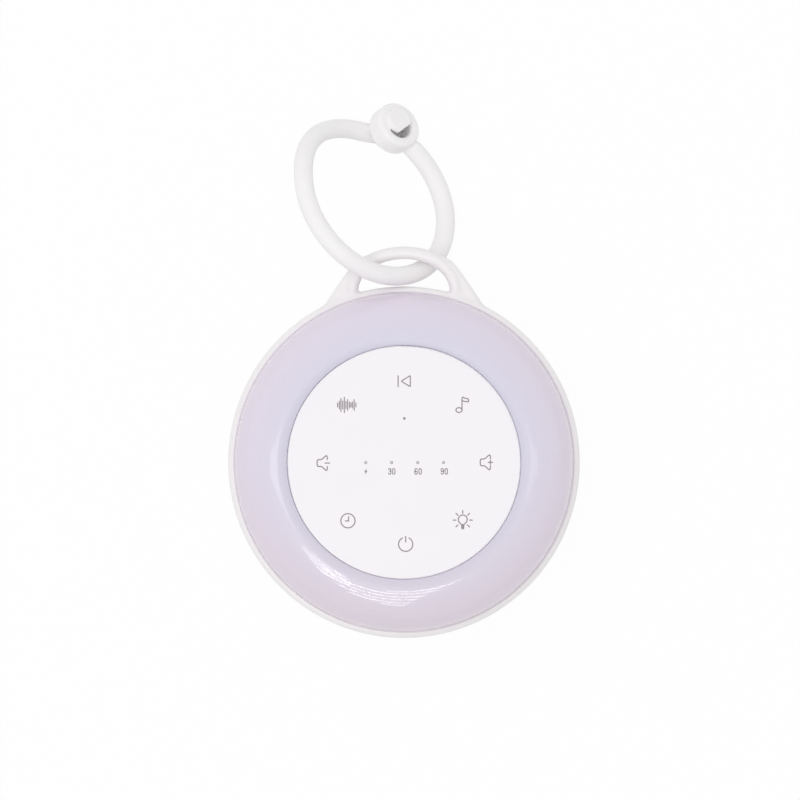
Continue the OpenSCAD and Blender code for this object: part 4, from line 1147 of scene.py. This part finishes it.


# %% [markdown]
# ## The four finishes that make the look
# The housing is satin white ABS with a fine spark-eroded grain. The ring is milky
# diffuser plastic: light goes into it, and its polished mould leaves a thin gloss on top.
# Its colour is partly its own tint and partly painted light and shade: bluer and darker
# beside the panel as painted shade, lighter and warmer towards its outer edge as partly
# painted light, and darker and pinker towards the bottom as painted shade. The panel is
# smoother and brighter. The strap is matte silicone, soft in tone, with a dusty sheen.

# %% Main finishes
HOUSING_WHITE = tone(244, 241, 242)
# The ring's colours are partly its own tint and partly painted light and shade: the inside colour
# is a darker, bluer painted shade beside the panel, and the outside colour is lighter as painted
# light on the falling outer slope.
RING_INSIDE = tone(216, 213, 229)
RING_MIDDLE = tone(222, 215, 231)
RING_OUTSIDE = tone(229, 219, 233)
# Painted shade: the ring's lower side is mixed towards this darker, pinker colour.
RING_LOW_TINT_AND_SHADE = tone(220, 206, 214)
PANEL_WHITE = tone(246, 243, 247)
STRAP_WHITE = tone(248, 246, 247)
INK_GREY = tone(150, 139, 145)
WINDOW_GREY = tone(214, 208, 212)
# Where the ring's tints with their painted light and shade, and its gloss, change over, from the
# axis or along Y.
INNER_BLEND = (35.5 * MM, 43 * MM)
OUTER_BLEND = (42.5 * MM, 50.5 * MM)
LOW_TINT_AND_SHADE_BLEND = (-50 * MM, 5 * MM)
GLOSS_BLEND = (37.2 * MM, 38 * MM)
LOW_TINT_AND_SHADE_SHARE = 0.35
RING_ROUGH = (0.34, 0.4)

housing_finish = Finish("satin_white_abs").surface(
    HOUSING_WHITE, uneven=0.015, size=9, rough=0.42, rough_spread=0.05, grain=0.28, relief=0.006)
housing_finish.set(Subsurface_Weight=0.06, Subsurface_Radius=(0.8 * MM, 0.7 * MM, 0.7 * MM),
                   Subsurface_Scale=1.0)
wear(housing, housing_finish)

ring_finish = Finish("milky_diffuser")
split = ring_finish.add("SeparateXYZ")
ring_finish.link(ring_finish.place, split.inputs[0])
flat_place = ring_finish.add("CombineXYZ")
ring_finish.link(split.outputs["X"], flat_place.inputs["X"])
ring_finish.link(split.outputs["Y"], flat_place.inputs["Y"])
radius = ring_finish.add("VectorMath", operation="LENGTH")
ring_finish.link(flat_place.outputs[0], radius.inputs[0])
# Painted light and shade across the ring: darker and bluer beside the panel, lighter and warmer
# outwards.
inner_share = ring_finish.range(radius.outputs["Value"], 0, 1, *INNER_BLEND)
outer_share = ring_finish.range(radius.outputs["Value"], 0, 1, *OUTER_BLEND)
# Painted shade: darker and pinker towards the bottom of the ring.
low_tint_and_shade_share = ring_finish.range(split.outputs["Y"], LOW_TINT_AND_SHADE_SHARE, 0, *LOW_TINT_AND_SHADE_BLEND)
ring_tint_and_shade = ring_finish.mix(inner_share, RING_INSIDE, RING_MIDDLE)
ring_tint_and_shade = ring_finish.mix(outer_share, ring_tint_and_shade, RING_OUTSIDE)
ring_tint_and_shade = ring_finish.mix(low_tint_and_shade_share, ring_tint_and_shade, RING_LOW_TINT_AND_SHADE)
ring_finish.link(ring_tint_and_shade, ring_finish.shader.inputs["Base Color"])
ring_finish.link(ring_finish.range(ring_finish.noise(5), *RING_ROUGH),
                 ring_finish.shader.inputs["Roughness"])
ring_finish.relief(ring_finish.noise(0.6, 2), 0.002)
ring_finish.set(Subsurface_Weight=0.12, Subsurface_Radius=(1.2 * MM, 1.1 * MM, 1.3 * MM),
                Subsurface_Scale=1.0, Specular_IOR_Level=0.3, Coat_Roughness=0.07)
ring_finish.link(ring_finish.range(radius.outputs["Value"], 0, 1, *GLOSS_BLEND),
                 ring_finish.shader.inputs["Coat Weight"])
wear(light_ring, ring_finish)

panel_finish = Finish("smooth_panel").surface(
    PANEL_WHITE, uneven=0.008, size=14, rough=0.3, rough_spread=0.03, grain=0.9, relief=0.001)
wear(nodes["touch_panel"], panel_finish)

strap_finish = Finish("matte_silicone").surface(
    STRAP_WHITE, uneven=0.02, size=6, rough=0.58, rough_spread=0.06, grain=0.35, relief=0.008)
strap_finish.set(Subsurface_Weight=0.15, Subsurface_Radius=(1.0 * MM, 0.9 * MM, 0.85 * MM),
                 Subsurface_Scale=1.0, Sheen_Weight=0.08, Sheen_Roughness=0.5)
wear(strap, strap_finish)

ink_finish = Finish("grey_ink").surface(
    INK_GREY, uneven=0.05, size=1.5, rough=0.5, rough_spread=0.05, grain=0.2, relief=0.002)
window_finish = Finish("window_film").surface(
    WINDOW_GREY, uneven=0.04, size=0.8, rough=0.35, rough_spread=0.04, grain=0.3, relief=0.001)
for film in marks:
    wear(film, ink_finish)
for film in windows:
    wear(film, window_finish)

# %% [markdown]
# ## The finishes of everything else
# The pieces inside and on the back keep their CAD shapes. Each line of the table is one
# finish: colour, unevenness of tone, size of that unevenness, roughness and its spread,
# grain size and relief, all in millimetres, and how metallic it is.

# %% Table of finishes
FINISHES = {
    "feet": ((182, 180, 183), 0.05, 3, 0.7, 0.06, 0.25, 0.01, 0),
    "grille": ((228, 225, 228), 0.02, 6, 0.45, 0.05, 0.25, 0.005, 0),
    "cloth": ((34, 34, 36), 0.5, 0.5, 0.9, 0.05, 0.3, 0.05, 0),
    "foam": ((52, 52, 54), 0.4, 0.8, 0.95, 0.03, 0.4, 0.08, 0),
    "speaker_metal": ((40, 40, 42), 0.15, 4, 0.45, 0.08, 0.5, 0.01, 0.2),
    "terminal": ((150, 118, 78), 0.2, 1.5, 0.7, 0.08, 0.3, 0.01, 0),
    "surround": ((30, 30, 30), 0.1, 3, 0.55, 0.08, 0.4, 0.006, 0),
    "cone": ((60, 60, 63), 0.2, 2, 0.6, 0.1, 0.5, 0.02, 0),
    "copper": ((196, 122, 78), 0.15, 0.6, 0.3, 0.06, 0.2, 0.03, 1),
    "spider": ((196, 162, 96), 0.25, 0.7, 0.8, 0.08, 0.35, 0.04, 0),
    "plate": ((190, 190, 194), 0.08, 3, 0.32, 0.08, 0.4, 0.006, 1),
    "magnet": ((50, 50, 51), 0.3, 1.2, 0.75, 0.1, 0.3, 0.02, 0.1),
    "inner_plastic": ((226, 226, 227), 0.02, 8, 0.5, 0.05, 0.4, 0.006, 0),
    "white_board": ((232, 232, 226), 0.03, 5, 0.4, 0.06, 0.5, 0.003, 0),
    "board": ((24, 96, 62), 0.25, 2.5, 0.35, 0.08, 0.4, 0.004, 0),
    "leds": ((244, 226, 140), 0.08, 0.8, 0.25, 0.06, 0.4, 0.002, 0),
    "tape": ((218, 214, 200), 0.05, 3, 0.6, 0.06, 0.3, 0.006, 0),
    "chips": ((42, 42, 43), 0.15, 1.2, 0.6, 0.08, 0.2, 0.006, 0),
    "can": ((204, 204, 207), 0.08, 2, 0.28, 0.07, 0.3, 0.004, 1),
    "plugs": ((222, 216, 196), 0.05, 2, 0.5, 0.06, 0.4, 0.005, 0),
    "knob": ((214, 211, 214), 0.03, 2, 0.45, 0.05, 0.2, 0.006, 0),
    "screws": ((198, 198, 200), 0.1, 1.5, 0.3, 0.07, 0.3, 0.005, 1),
    "battery": ((170, 182, 196), 0.05, 6, 0.38, 0.1, 1.2, 0.02, 0.4),
    "ribbon": ((226, 226, 230), 0.05, 1, 0.4, 0.05, 0.5, 0.004, 0),
    "red_wire": ((176, 42, 40), 0.1, 1, 0.5, 0.06, 0.3, 0.004, 0),
    "dark_wire": ((42, 42, 43), 0.1, 1, 0.5, 0.06, 0.3, 0.004, 0),
    "pale_wire": ((224, 223, 222), 0.05, 1, 0.5, 0.06, 0.3, 0.004, 0),
}
made = {"housing": housing_finish, "diffuser": ring_finish,
        "panel": panel_finish, "strap": strap_finish}
for slot_name, (colour, *surface, metallic) in FINISHES.items():
    made[slot_name] = Finish(slot_name).surface(tone(*colour), *surface).set(Metallic=metallic)
for part in frame["record"]["subparts"]:
    wear(nodes[part["node"]], made[part["material_slot"]])
print("finishes:", len(bpy.data.materials))
